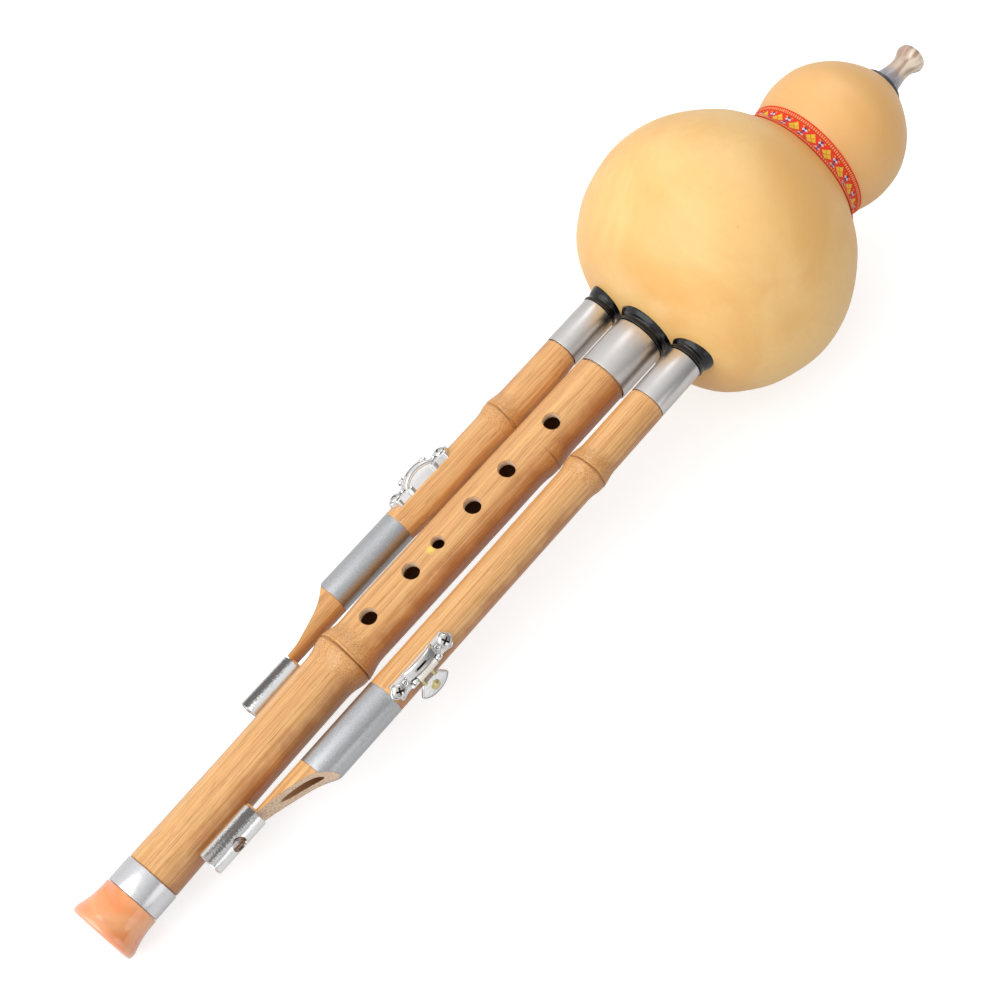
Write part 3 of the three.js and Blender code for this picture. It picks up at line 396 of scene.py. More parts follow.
def fibreGroup():
    # long fibres: noise squeezed along x, in a broad and a fine layer, and darker single threads
    group, paint, (vector, along, across) = newGroup("long fibres", "Fibre", "Thread", Along=0.02, Across=1.0)
    scale = paint.add("ShaderNodeCombineXYZ", {0: along, 1: across, 2: across})
    squeezed = paint.stretched(vector, scale)
    broad = paint.noise(squeezed, 0.55, 3, 0.6, 0.3)
    fine = paint.noise(squeezed, 3.4, 4, 0.7, 0.2)
    thread = paint.noise(paint.stretched(squeezed, (1.7, 1, 1)), 5.5, 1, 0.4, 0.1)
    paint.set(Fibre=(broad * 0.45 + fine * 0.55).between(0.34, 0.66), Thread=thread.between(0.62, 0.74))
    return group


def handlingGroup():
    # faint wear: large soft patches and fine short scratches, for colour and for gloss
    group, paint, (vector, size) = newGroup("handling wear", "Patch", "Scratch", Size=1.0)
    sized = paint.add("ShaderNodeVectorMath", {0: vector, "Scale": size}, operation="SCALE")
    lines = paint.noise(paint.stretched(sized, (0.25, 3.2, 3.2)), 1.6, 2, 0.5, 1.5)
    paint.set(Patch=paint.noise(sized, 0.08, 4, 0.55).between(0.3, 0.7), Scratch=lines.between(0.66, 0.78))
    return group


def hammeredGroup():
    # small flat dents: rounded cells, and a fine grain over them
    group, paint, (vector, density) = newGroup("beaten metal", "Height", Density=1.0)
    cells = paint.add("ShaderNodeTexVoronoi", {"Vector": vector, "Scale": density, "Smoothness": 0.6},
                      feature="SMOOTH_F1")
    paint.set(Height=cells + paint.noise(vector, 2.2, 2, 0.5) * 0.5)
    return group


fibres = fibreGroup()
handling = handlingGroup()
beaten = hammeredGroup()
print("shared shader groups made")


def wornMaterial(name, place, wearSize, **values):
    # a new material, the piece's own space, and the faint wear that most finishes share
    paint = newMaterial(name, **values)
    spot = paint.ownSpace(place)
    return paint, spot, paint.group(handling, Vector=spot, Size=wearSize)


bambooLook = {
    # side: the red brown of the shade painted low on the pipes' sides
    "pale": (244, 193, 129), "deep": (203, 139, 76), "thread": (142, 84, 40), "side": (168, 94, 46),
    "node": (216, 156, 90), "pore": (146, 84, 42), "cut": (246, 216, 186), "cutPore": (184, 142, 108),
    "bore": (146, 98, 60), "stain": (250, 226, 90), "roughness": 0.36, "coat": 0.34, "skinThick": 0.28,
}


def bambooMaterial(name, place, radius, bore, nodes, shadeTurn=0.0, mark=None, bend=None):
    look = SimpleNamespace(**bambooLook)
    paint = newMaterial(name, Coat_Roughness=0.13)
    spot = paint.ownSpace(place)
    x, y, z = paint.parts(spot)
    if bend:
        # follow the pipe where it runs on at an angle below its node
        bendX, degrees = bend
        y = y - (x - bendX).maths("MINIMUM", 0.0) * math.tan(math.radians(degrees))
        spot = paint.add("ShaderNodeCombineXYZ", {0: x, 1: y, 2: z})
    away = (y * y + z * z).maths("SQRT")
    grain = paint.group(fibres, Vector=spot, Along=0.009, Across=1.2)
    wear = paint.group(handling, Vector=spot, Size=1.0)
    skin = paint.mix(grain["Fibre"], look.deep, look.pale)
    skin = paint.mix(grain["Thread"] * 0.82, skin, look.thread)
    # painted shade round the pipe: pale on top, red brown low on the sides
    lean = z * math.cos(shadeTurn) + y * math.sin(shadeTurn) + (wear["Patch"] - 0.5) * 5.0
    skin = paint.mix(lean.between(radius * 0.62, -radius * 0.25) * 0.62, skin, look.side)
    # nodes: a warmer zone with small dark pores, and a groove
    zone, groove = 0.0, 0.0
    for nodePlace, reach, sideways in nodes:
        far = abs(x - nodePlace)
        near, line = far.between(reach, reach * 0.35), far.between(0.75, 0.25)
        if sideways:
            facing = y.between(-radius * 0.5, -radius * 0.85)
            near, line = near * facing, line * facing
        zone, groove = near.maths("MAXIMUM", zone), line.maths("MAXIMUM", groove)
    skin = paint.mix(zone * 0.5, skin, look.node)
    dots = paint.cells(paint.stretched(spot, (1.7, 2.6, 2.6))).between(0.37, 0.24) * zone
    skin = paint.mix(dots * 0.75, skin, look.pore)
    skin = paint.mix(groove * 0.45, skin, look.thread)
    if mark:
        # a small yellow stain with a ragged edge beside the smallest finger hole
        spotX, spotY, size = mark
        apart = ((x - spotX).maths("POWER", 2) + (y - spotY).maths("POWER", 2)).maths("SQRT")
        ragged = apart + paint.noise(spot, 0.9, 3) * 1.6
        stain = ragged.between(size + 2.2, size + 0.2) * z.maths("GREATER_THAN", 0)
        skin = paint.mix(stain * 0.62, skin, look.stain)
    # cut wood: pale with pores where the outer skin is gone, brown in the bore
    cutPores = paint.cells(paint.stretched(spot, (0.5, 2.2, 2.2)))
    wood = paint.mix(cutPores.between(0.4, 0.22), look.cut, look.cutPore)
    wood = paint.mix(away.between(bore + 0.5, bore + 0.12), wood, look.bore)
    inside = away.between(radius - look.skinThick, radius - look.skinThick - 0.22)
    paint.set(Base_Color=paint.mix(inside, skin, wood), Coat_Weight=(1 - inside) * look.coat,
              Roughness=grain["Fibre"] * 0.1 + look.roughness + inside * 0.4 + wear["Scratch"] * 0.1)
    paint.bump(grain["Fibre"] * 0.35 - dots * 0.8 - groove, 0.35, 0.12)
    return paint.material


gourdLook = {"light": (253, 209, 136), "warm": (246, 190, 112), "edge": (240, 180, 118),
             "speck": (170, 128, 70)}


def gourdMaterial():
    look = SimpleNamespace(**gourdLook)
    paint, spot, wear = wornMaterial("waxed gourd skin", leaned, 0.45, Coat_Weight=0.18, Coat_Roughness=0.3)
    skin = paint.mix(paint.noise(spot, 0.022, 4, 0.6, 0.6).between(0.32, 0.68), look.light, look.warm)
    waistward = paint.parts(spot)[0].between(gourdBase + 64, gourdBase + 96)
    skin = paint.mix(waistward * 0.35, skin, look.edge)
    mottle = paint.noise(spot, 0.35, 4, 0.65)
    skin = paint.mix(mottle.between(0.35, 0.75) * 0.22, skin, look.warm)
    skin = paint.mix(paint.cells(spot, 0.055).between(0.05, 0.025) * 0.3, skin, look.speck)
    paint.set(Base_Color=skin, Roughness=wear["Patch"] * 0.07 + wear["Scratch"] * 0.05 + 0.42)
    paint.bump(mottle * 0.6 + paint.noise(spot, 2.2, 3, 0.6), 0.16, 0.12)
    return paint.material


def brushedMaterial(name, place, tint, roughness, lines=9.0, strength=0.18):
    # brushed round the tube: noise squeezed so that it runs in rings
    paint, spot, wear = wornMaterial(name, place, 1.4, Metallic=1.0)
    rings = paint.noise(paint.stretched(spot, (lines, 0.22, 0.22)), 1.0, 3, 0.6)
    shade = paint.mix(rings.between(0.3, 0.7), dimmed(tint, 0.98), tint)
    shade = paint.mix(wear["Patch"] * 0.1, shade, dimmed(tint, 0.8))
    paint.set(Base_Color=shade, Roughness=rings * 0.1 + wear["Scratch"] * 0.08 + roughness)
    paint.bump(rings, strength, 0.05)
    return paint.material


def grainedMaterial(name, place, tint):
    # satin metal with a fine frosted grain
    paint, spot, wear = wornMaterial(name, place, 1.2, Metallic=1.0)
    grain = paint.noise(spot, 3.2, 3, 0.75)
    paint.set(Base_Color=paint.mix(grain.between(0.35, 0.65), dimmed(tint, 0.84), tint),
              Roughness=grain * 0.12 + wear["Patch"] * 0.05 + 0.27)
    paint.bump(grain, 0.3, 0.05)
    return paint.material


def beatenMaterial(name, place, tint, density, strength, distance, roughness, reflectionTurn=None, creviceShade=None):
    # band: the turn round the piece, in degrees, where a dark strip of painted reflection runs along it;
    # grime: the colour of the painted shade laid into its corners
    paint, spot, wear = wornMaterial(name, place, 1.6, Metallic=1.0)
    shade = paint.mix(wear["Patch"] * 0.2, tint, dimmed(tint, 0.86))
    if reflectionTurn is not None:
        # painted reflection: a dark strip along the side that faces the given turn
        y, z = paint.parts(spot)[1:]
        cosine, sine = math.cos(math.radians(reflectionTurn)), math.sin(math.radians(reflectionTurn))
        ragged = abs(y * cosine - z * sine) + paint.noise(spot, 1.9, 3, 0.7) * 3.4
        reflectionStrip = ragged.between(4.3, 2.7) * (y * sine + z * cosine).between(1.0, 3.0)
        shade = paint.mix(reflectionStrip * 0.92, shade, (92, 88, 85))
    if creviceShade:
        # painted shade: where the AO node finds the surface hemmed in, the colour darkens towards the given
        # one
        corner = paint.add("ShaderNodeAmbientOcclusion", {"Distance": 0.0011}, "AO")
        shade = paint.mix(corner.between(0.72, 0.3, 0.0, 0.85), shade, creviceShade)
    paint.set(Base_Color=shade, Roughness=wear["Scratch"] * 0.1 + roughness)
    paint.bump(paint.group(beaten, Vector=spot, Density=density)["Height"], strength, distance)
    return paint.material


def socketMaterial():
    paint, spot, wear = wornMaterial("black socket resin", straight, 2.0, Coat_Weight=0.25,
                                     Coat_Roughness=0.05, Specular_IOR_Level=0.3)
    lumps = paint.noise(spot, 0.7, 3, 0.6)
    paint.set(Base_Color=paint.mix(lumps.between(0.4, 0.8), (7, 8, 10), (20, 21, 24)),
              Roughness=wear["Patch"] * 0.14 + wear["Scratch"] * 0.2 + 0.16)
    paint.bump(lumps, 0.35, 0.35)
    return paint.material


def agateMaterial():
    # cloudy resin: swirls of orange, rose and cream, with a paler rim
    paint = newMaterial("agate resin", Roughness=0.1, Coat_Weight=0.9, Coat_Roughness=0.04,
                        Subsurface_Weight=0.25, Subsurface_Scale=0.004, Subsurface_Radius=(1.0, 0.45, 0.25))
    spot = paint.ownSpace(bent)
    shade = paint.ramp(paint.noise(spot, 0.045, 2, 0.45, 0.6), (0.28, (243, 158, 124)),
                       (0.43, (247, 148, 80)), (0.55, (251, 176, 118)), (0.68, (238, 138, 92)))
    veil = paint.noise(spot, 0.12, 3, 0.5, 0.4).between(0.45, 0.8)
    shade = paint.mix(veil * 0.22, shade, (250, 196, 168))
    shade = paint.mix(paint.parts(spot)[0].between(3.4, 0.5, 0.0, 0.5), shade, (250, 176, 146))
    paint.set(Base_Color=shade)
    paint.bump(veil, 0.05, 0.05)
    return paint.material


def hornMaterial(name, place, pale, streaks, amount, roughness, foot=None):
    # horn: cream layers with brown streaks drawn out along the pipe, and where given a foot that
    # fades from another colour: (its start, its end, the colour)
    paint = newMaterial(name, Coat_Weight=0.5, Coat_Roughness=0.1)
    spot = paint.ownSpace(place)
    layers = paint.noise(paint.stretched(spot, (0.045, 0.24, 0.24)), 1.0, 2, 0.5, 0.5)
    shade = paint.mix(layers.between(0.42, 0.66, 0.0, amount), pale, streaks)
    if foot:
        start, end, colour = foot
        along = paint.parts(spot)[0] + layers * 3.0
        shade = paint.mix(along.between(end, start, 0.0, 0.85), shade, colour)
    fine = paint.group(fibres, Vector=spot, Along=0.08, Across=1.3)
    shade = paint.mix(fine["Thread"] * 0.2, shade, dimmed(streaks, 0.8))
    paint.set(Base_Color=shade, Roughness=layers * 0.08 + roughness)
    paint.bump(fine["Fibre"], 0.08, 0.08)
    return paint.material


def plainFinish(name, place, first, second, scale, roughness, relief):
    # small inner parts: two close shades in fine grain
    paint = newMaterial(name)
    grain = paint.noise(paint.ownSpace(place), scale, 4, 0.6)
    paint.set(Base_Color=paint.mix(grain.between(0.35, 0.65), first, second),
              Roughness=grain * 0.1 + roughness)
    paint.bump(grain, relief, 0.08)
    return paint.material


gourdShape = {
    "wall": 3.4, "bigRadius": 56.1, "waistRadius": 25.9, "smallRadius": 30.0, "toWidest": 43.8,
    "toWaist": 48.3, "toShoulder": 18.7, "toTip": 32.0, "socketHole": 9.8, "mouthHole": 3.9,
    "skinRows": 210, "wallRows": 70, "sides": 256,
}
gourd = SimpleNamespace(**gourdShape)
widestX = gourdBase + gourd.toWidest
waistX = widestX + gourd.toWaist
shoulderX = waistX + gourd.toShoulder
tipX = shoulderX + gourd.toTip


def gourdCurve():
    # the outline through places and radii: base to widest, to waist, to shoulder, to tip
    big, waist, small = gourd.bigRadius, gourd.waistRadius, gourd.smallRadius
    stretches = [
        (gourdBase, gourd.toWidest, 0, big, [(0, 0), (0.009, 0.22), (0.034, 0.4), (0.09, 0.588),
                                             (0.202, 0.74), (0.37, 0.85), (0.612, 0.945), (1, 1)]),
        (widestX, gourd.toWaist, waist, big - waist, [(0.352, 0.88), (0.68, 0.55), (0.885, 0.168), (1, 0)]),
        (waistX, gourd.toShoulder, waist, small - waist, [(0.33, 0.46), (0.66, 0.88), (1, 1)]),
        (shoulderX, gourd.toTip, 0, small, [(0.27, 0.953), (0.56, 0.78), (0.8, 0.513), (0.94, 0.26), (1, 0)]),
    ]
    return throughPoints([(start + length * run, base + height * rise)
                          for start, length, base, height, shares in stretches for run, rise in shares], 1600)


gourdLine = gourdCurve()


def gourdRadius(x):
    # the skin's radius, read off the outline
    return np.interp(x, gourdLine[:, 0], gourdLine[:, 1])


def gourdOffset(distance, count):
    # the outline moved out by a distance along its normal, from hole to hole in even steps
    slope = np.gradient(gourdLine, axis=0)
    slope /= np.linalg.norm(slope, axis=1, keepdims=True)
    line = gourdLine + distance * np.stack([-slope[:, 1], slope[:, 0]], axis=1)
    fromStart = np.argmax(line[:, 1] > gourd.socketHole)
    fromEnd = np.argmax(line[::-1, 1] > gourd.mouthHole)
    line = line[fromStart:len(line) - fromEnd]
    reach = np.concatenate([[0], np.cumsum(np.linalg.norm(np.diff(line, axis=0), axis=1))])
    even = np.linspace(0, reach[-1], count)
    return np.stack([np.interp(even, reach, line[:, 0]), np.interp(even, reach, line[:, 1])], axis=1)


def gourdSwell(place, angle, radius):
    # a grown fruit isn't quite round: slow waves round it, fading to nothing at both ends
    waves = (0.22 * np.sin(2 * angle + 0.7) + 0.14 * np.sin(3 * angle + 2.1 + place * 0.02)
             + 0.08 * np.sin(5 * angle + place * 0.05))
    return waves * np.clip((radius - 14) / 20, 0, 1)


def makeGourd(material):
    skin, wall = gourdOffset(0, gourd.skinRows), gourdOffset(-gourd.wall, gourd.wallRows)
    grid = turnedGrid(np.concatenate([skin, wall[::-1]]), gourd.sides, gourdSwell)
    piece = addMesh("gourd", grid, leaned, material, sharp=50)
    carve(piece, [addMesh("socketCut", drillGrid(gourdBase - 12, gourdBase + 26, voice.radius - 0.6, 48),
                          voice.frame) for voice in voices], sharp=50)
    settle(piece, "wind_chamber", "gourd_skin", "gourd_shell")


mainShape = {
    "radius": 10.2, "footRadius": 10.75, "bore": 6.6, "tenonFoot": 10.1, "tenonHead": 9.5, "tenonLength": 8.0,
    "swell": 1.6, "nodeLength": 20.0, "upperNodePlace": 208.4, "upperSwell": 0.9, "upperFace": 262.0,
    "oval": 0.85,
    "firstHole": 117.4, "rowLength": 100.1, "shares": (0, 0.227, 0.372, 0.561, 0.75, 1), "holeRadius": 3.25,
    "smallHole": 2.5, "smallNumber": 2, "rowTwist": 6.0, "thumbGap": 18.0, "rimSoftness": 0.28,
    "zoneReach": 11.0, "upperZoneReach": 5.0, "stainGap": 3.9, "stainSize": 1.1,
}
droneShape = {
    "ferruleLength": 21.8, "nodeGap": 35.4, "nodeLength": 16.0, "tenonLength": 8.0, "sleeveLength": 36.8,
    "sleeveWall": 0.7, "scoopLength": 30.4, "scoopPlaces": (0, 0.23, 0.62, 0.82, 1), "tailLength": 23.2,
    "tailRadius": 5.15, "tailWall": 0.75, "tailInset": 6.8, "tailShift": 1.5, "tongue": 9.5,
    "cordPlace": 11.6, "cordRadius": 2.9, "boreShare": 0.66, "toneHole": 1.4, "zoneReach": 9.0,
}
leftVoice = {
    "name": "left", "side": 1, "radius": 6.9, "bore": 3.7, "nodeSwell": 0.9, "flange": 7.9, "shown": 157.3,
    "scoopHeights": (-0.66, -0.57, -0.14, 0.34, 1.1), "pastSleeve": 3.0, "cordTurn": 100.0,
    "keyGap": 18.5, "keyTurn": 46.0, "splay": 0.0, "waves": 0.4, "oval": 0.95,
}
rightVoice = {
    "name": "right", "side": -1, "radius": 7.5, "bore": 4.1, "nodeSwell": 1.2, "flange": 9.2, "shown": 207.7,
    "scoopHeights": (-0.66, -0.46, 0, 0.41, 1.1), "pastSleeve": 6.4, "cordTurn": 63.0,
    "keyGap": 15.2, "keyTurn": 35.0, "splay": 0.55, "waves": 1.9, "oval": 0.0,
}
main, drone = SimpleNamespace(**mainShape), SimpleNamespace(**droneShape)
upperNodeX = pipeFoot + main.upperNodePlace
mainHoles = [pipeFoot + main.firstHole + share * main.rowLength for share in main.shares]
voices = [SimpleNamespace(**voice) for voice in (leftVoice, rightVoice)]
for voice in voices:
    voice.body = f"{voice.name}_drone"
    voice.frame = droneFrame(voice.side, voice.splay)
    voice.head = droneCollarStart - fitGap - drone.ferruleLength - fitGap
    voice.start = voice.head - voice.shown
    voice.node = voice.head - drone.nodeGap
    voice.sleeveStart = voice.start + drone.scoopLength - voice.pastSleeve
    voice.sleeveEnd = voice.sleeveStart + drone.sleeveLength
    voice.tail = voice.frame @ shift(0, -voice.side * drone.tailInset, -voice.side * drone.tailShift)
    voice.key = (voice.frame @ shift(voice.sleeveEnd + voice.keyGap, 0, 0)
                 @ turn("X", -voice.side * voice.keyTurn) @ turn("Z", 90 - 90 * voice.side))


def nodeRise(run):
    # share of the swelling at a share of the node's length: a flare with two lips and a groove
    flare = np.interp(np.abs(run), [0, 0.06, 0.14, 0.22, 0.3, 0.4, 0.5], [1, 0.96, 0.84, 0.55, 0.27, 0.07, 0])
    return flare - 0.5 * np.exp(-(run / 0.014) ** 2) + 0.12 * np.exp(-((run - 0.045) / 0.02) ** 2)


def mainSwell(place, angle, radius):
    # the nodes, of which a sanded face leaves the upper one on one side only, a slight unevenness
    # all round, and the oval towards the left drone
    shown = (radius > main.bore + 0.5) & (place > pipeFoot) & (place < pipeHead)
    wave = 0.35 * np.sin(angle + 1.0) + 0.25 * np.sin(3 * angle)
    lower = main.swell * nodeRise((place - nodeX - wave) / main.nodeLength)
    upper = main.upperSwell * nodeRise((place - upperNodeX - wave) / main.nodeLength)
    facing = np.clip(np.cos(angle - math.radians(main.upperFace)), 0, 1) ** 1.5
    rough = 0.07 * np.sin(2 * angle + place * 0.031) + 0.05 * np.sin(3 * angle - place * 0.017)
    oval = main.oval * np.clip(np.sin(angle), 0, 1) ** 2 * np.clip((place - nodeX - 6) / 14, 0, 1)
    return np.where(shown, lower + upper * facing + rough + oval, 0)


def mainPipeProfile():
    footStart = layout["bellLength"] + bell.tenon + fitGap
    headEnd = pipeHead + fitGap + main.tenonLength
    dense = np.linspace(-2.4, 2.4, 25)
    rows = np.unique(np.concatenate([np.linspace(pipeFoot, pipeHead, 340)[1:-1], nodeX + dense,
                                     upperNodeX + dense, [pipeFoot + 0.35, pipeHead - 0.35]]))
    radius = np.interp(rows, [pipeFoot, pipeFoot + layout["nodePlace"] / 2], [main.footRadius, main.radius])
    first = [[footStart, main.bore], [footStart, main.tenonFoot], [pipeFoot, main.tenonFoot],
             [pipeFoot, main.footRadius - 0.3]]
    last = [[pipeHead, main.radius - 0.3], [pipeHead, main.tenonHead], [headEnd, main.tenonHead],
            [headEnd, main.bore]]
    inner = np.linspace([headEnd, main.bore], [footStart, main.bore], 120)[1:-1]
    return np.concatenate([first, np.stack([rows, radius], axis=1), last, inner])


def holeCutter(radius, place):
    # a drill whose upper rim opens a little at the pipe's curved surface, so the hole's edge is eased:
    # its rows follow the height of that surface, sqrt(R^2 - y^2)
    angle = circle(56)
    reach = np.array([0, 1, 1, 1, 1, 1, 1, 0])[:, None] * radius
    ease = np.array([0, 0, 0, 0.04, 0.12, 0.3, 1.6, 0])[:, None] * main.rimSoftness / 0.3
    lift = np.array([0, 0, -1.6, -0.55, -0.22, 0.02, 0, 0])[:, None]
    size = reach + ease
    x, y = size * np.cos(angle), size * np.sin(angle)
    z = np.sqrt(main.radius ** 2 - np.minimum(y, main.radius * 0.9) ** 2) + lift
    z[:2] = 0
    z[6:] = main.radius + 4
    return addMesh("hole", np.stack([x, y, z], axis=-1), place, closedRows=False)


def makeMainPipe(material):
    grid = turnedGrid(mainPipeProfile(), 144, mainSwell)
    # below its node the pipe runs on at a slight angle
    grid = np.where(grid[..., :1] < nodeX, moved(grid, bent), grid)
    pipe = addMesh("mainPipe", grid, straight, material)
    cutters = []
    for number, (share, place) in enumerate(zip(main.shares, mainHoles)):
        size = main.smallHole if number == main.smallNumber else main.holeRadius
        cutters.append(holeCutter(size, shift(place, 0, 0) @ turn("X", main.rowTwist * (share - 0.5))))
    cutters.append(holeCutter(main.holeRadius, shift(mainHoles[-1] + main.thumbGap, 0, 0) @ turn("X", 180)))
    carve(pipe, cutters)
    settle(pipe, "main_voice", "bamboo", "main_pipe")


def scoopCutter(voice):
    # all that lies outward of a curve that climbs from the tongue to the skin
    heights = np.array(voice.scoopHeights) * voice.radius * voice.side
    places = voice.start + np.array(drone.scoopPlaces) * drone.scoopLength
    climb = throughPoints(np.stack([places, heights], axis=1), 60)
    half = voice.radius + 6
    far = voice.side * half
    back = voice.start - drone.tongue - 6
    outline = np.concatenate([climb, [[climb[-1, 0], far], [back, far], [back, climb[0, 1]]]])
    rows = ((-half, 0), (-half, 1), (half, 1), (half, 0))
    return addMesh("scoop", scaledRows(outline, outline.mean(axis=0), rows, (1, 2, 0)), voice.frame,
                   closedRows=False)


def droneProfile(voice):
    sleeved = voice.radius - drone.sleeveWall - 0.05
    spigot = voice.radius - 0.9
    seat, seatEnd = voice.sleeveStart - 0.05, voice.sleeveEnd + 0.05
    tenonEnd = voice.head + drone.tenonLength
    lower = np.linspace(voice.start, seat - 0.2, 24)
    upper = np.unique(np.concatenate([np.linspace(seatEnd + 0.3, voice.head - 0.3, 200),
                                      voice.node + np.linspace(-2.2, 2.2, 25)]))
    skin = [np.stack([rows, np.full(len(rows), voice.radius)], axis=1) for rows in (lower, upper)]
    inner = np.linspace(tenonEnd, voice.start, 60)
    narrow = np.interp(inner - voice.start, [22, 36], [drone.boreShare, 1])
    joints = [[seat, voice.radius - 0.15], [seat, sleeved], [seatEnd, sleeved], [seatEnd, voice.radius - 0.2]]
    head = [[voice.head, voice.radius - 0.2], [voice.head, spigot], [tenonEnd, spigot]]
    return np.concatenate([skin[0], joints, skin[1], head, np.stack([inner, voice.bore * narrow], axis=1)])


def droneSwell(voice):
    # its node, a slight unevenness all round, and the oval towards the main pipe
    def swell(place, angle, radius):
        phase = voice.waves
        wave = 0.45 * np.sin(angle + phase) + 0.3 * np.sin(2 * angle + 2 * phase) + 0.12 * np.sin(7 * angle)
        rise = voice.nodeSwell * nodeRise((place - voice.node - wave) / drone.nodeLength)
        rough = 0.06 * np.sin(2 * angle + place * 0.04 + phase) + 0.04 * np.sin(3 * angle - place * 0.023)
        uneven = 1 + 0.18 * np.sin(angle * 2 + phase)
        shown = (radius > voice.bore + 0.5) & (place > voice.sleeveEnd + 2) & (place < voice.head - 0.5)
        ends = np.clip((voice.head - place) / 12, 0, 1) * np.clip((place - voice.sleeveStart - 38) / 12, 0, 1)
        oval = voice.oval * np.clip(-np.sin(angle), 0, 1) ** 2 * ends
        return np.where(shown, rise * uneven + rough + oval, 0)
    return swell


def tongueGrid(voice):
    # the tongue inside the tail tube: a circle flattened by the scoop's floor, carried along x
    size = drone.tailRadius - drone.tailWall - 0.12
    y = -voice.side * drone.tailInset + size * np.sin(circle(40))
    z = -voice.side * drone.tailShift + size * np.cos(circle(40))
    y = voice.side * np.minimum(voice.side * y, voice.scoopHeights[0] * voice.radius)
    outline = np.stack([y, z], axis=1)
    start, end = voice.start - drone.tongue, voice.start + 0.6
    return scaledRows(outline, outline.mean(axis=0), ((start, 0), (start, 1), (end, 1), (end, 0)))


def makeDronePipe(voice, material):
    grid = turnedGrid(droneProfile(voice), 112, droneSwell(voice))
    pipe = addMesh(f"{voice.name}DronePipe", grid, voice.frame, material)
    toneHole = addMesh("toneHole", drillGrid(0, 12, drone.toneHole, 32), voice.key @ turn("Y", -90))
    carve(pipe, [scoopCutter(voice), toneHole])
    settle(addMesh(f"{voice.name}Tongue", tongueGrid(voice), voice.frame, material, closedRows=False),
           voice.body, "bamboo")
    settle(pipe, voice.body, "bamboo", f"{voice.name}_drone_pipe")


tubeShape = {"ferruleWall": 0.6, "edge": 0.16, "mainFerruleRadius": 10.72, "endRingRadius": 11.0}
tubes = SimpleNamespace(**tubeShape)


def tubeMesh(name, start, end, radius, wall, edge, sides, place, material):
    # a drawn tube with eased ends
    inner = radius - wall
    profile = rounded([[start, inner], [start, radius], [end, radius], [end, inner]], edge)
    return addMesh(name, turnedGrid(profile, sides), place, material)


def makeFerrule(name, start, length, radius, place, body, material, node, slot="brushed_steel"):
    piece = tubeMesh(name, start, start + length, radius, tubes.ferruleWall, tubes.edge, 128, place, material)
    settle(piece, body, slot, node)


def makeSleeve(voice, material):
    sleeve = tubeMesh(f"{voice.name}Sleeve", voice.sleeveStart, voice.sleeveEnd, voice.radius,
                      drone.sleeveWall, 0.14, 112, voice.frame, material)
    carve(sleeve, [scoopCutter(voice)])
    settle(sleeve, voice.body, "satin_aluminium", f"{voice.name}_sleeve")


def makeTail(voice, material):
    end = voice.start - fitGap
    start = end - drone.tailLength
    tail = tubeMesh(f"{voice.name}Tail", start, end, drone.tailRadius, drone.tailWall, 0.22, 96, voice.tail,
                    material)
    spot = voice.tail @ shift(start + drone.cordPlace, 0, 0) @ turn("X", -voice.side * voice.cordTurn)
    carve(tail, [addMesh("cordHole", drillGrid(-9, 9, drone.cordRadius, 56), spot @ turn("Y", 90))])
    settle(tail, voice.body, "polished_steel", f"{voice.name}_tail_tube")


collarShape = {"spigot": 13.0, "lipHeight": 0.55, "lipWidth": 1.3, "groove": 0.35, "neckWall": 1.3,
               "mainFlange": 12.3}
collar = SimpleNamespace(**collarShape)


def makeCollar(name, start, radius, flange, axisRadius, place, material):
    # its far edge lies where the big lobe is as wide as that edge
    far = float(np.interp(axisRadius + flange, gourdLine[:400, 1], gourdLine[:400, 0])) + 0.6
    spigot = radius - 0.9
    bore = spigot - collar.neckWall
    lip, neck = radius + collar.lipHeight, radius - collar.groove
    lipEnd = start + collar.lipWidth
    step = (layout["collarLength"] - collar.lipWidth) / 3
    corners = [
        [start - collar.spigot, bore], [start - collar.spigot, spigot], [start - 0.02, spigot],
        [start - 0.02, lip], [lipEnd, lip], [lipEnd, neck], [lipEnd + step, neck],
        [lipEnd + 1.7 * step, (radius + flange) / 2], [far - 0.9, flange + 0.1], [far, flange],
        [far + 1.0, flange - 1.6], [far + 1.0, bore],
    ]
    sizes = [0.1, 0.3, 0.1, 0.4, 0.4, 0.4, 0.6, 1.4, 0.4, 0.4, 0.4, 0.1]

    def squeeze(x, angle, size):
        return 0.12 * np.sin(3 * angle + axisRadius) * (size > radius + 0.2)

    piece = addMesh(f"{name}Collar", turnedGrid(rounded(corners, sizes, 6), 112, squeeze), place, material)
    settle(piece, "wind_chamber", "black_resin", f"{name}_collar")


bellShape = {"mouthRadius": 13.3, "neckRadius": 11.2, "rim": 3.2, "bore": 7.2, "mouthBore": 9.6, "tenon": 4.6,
             "tenonRadius": 10.1}
bell = SimpleNamespace(**bellShape)


def makeBell(material):
    # a round lip, a curve up to the neck, a tenon, and a bore that widens to the mouth
    length = layout["bellLength"]
    rim = bell.rim / 2
    mouth = bell.mouthRadius - rim
    angle = np.linspace(-math.pi / 2, -1.5 * math.pi, 16)[1:]
    lip = np.stack([rim + rim * np.cos(angle), mouth + rim * np.sin(angle)], axis=1)
    flare = curve(np.linspace(0, 1, 26)[:, None], np.array([bell.rim, mouth + rim * 0.9]),
                  np.array([length / 2, bell.neckRadius]), np.array([length, bell.neckRadius]))
    end = length + bell.tenon
    tenon = [[length, bell.tenonRadius], [end, bell.tenonRadius]]
    inner = np.linspace([end, bell.bore], [length * 0.4, bell.bore], 14)
    funnel = np.linspace([length * 0.4, bell.bore], [rim, bell.mouthBore], 10)[1:]
    profile = np.concatenate([lip, flare, tenon, inner, funnel])
    settle(addMesh("bellPiece", turnedGrid(profile, 144), bent, material, sharp=50),
           "main_voice", "agate_resin", "bell")


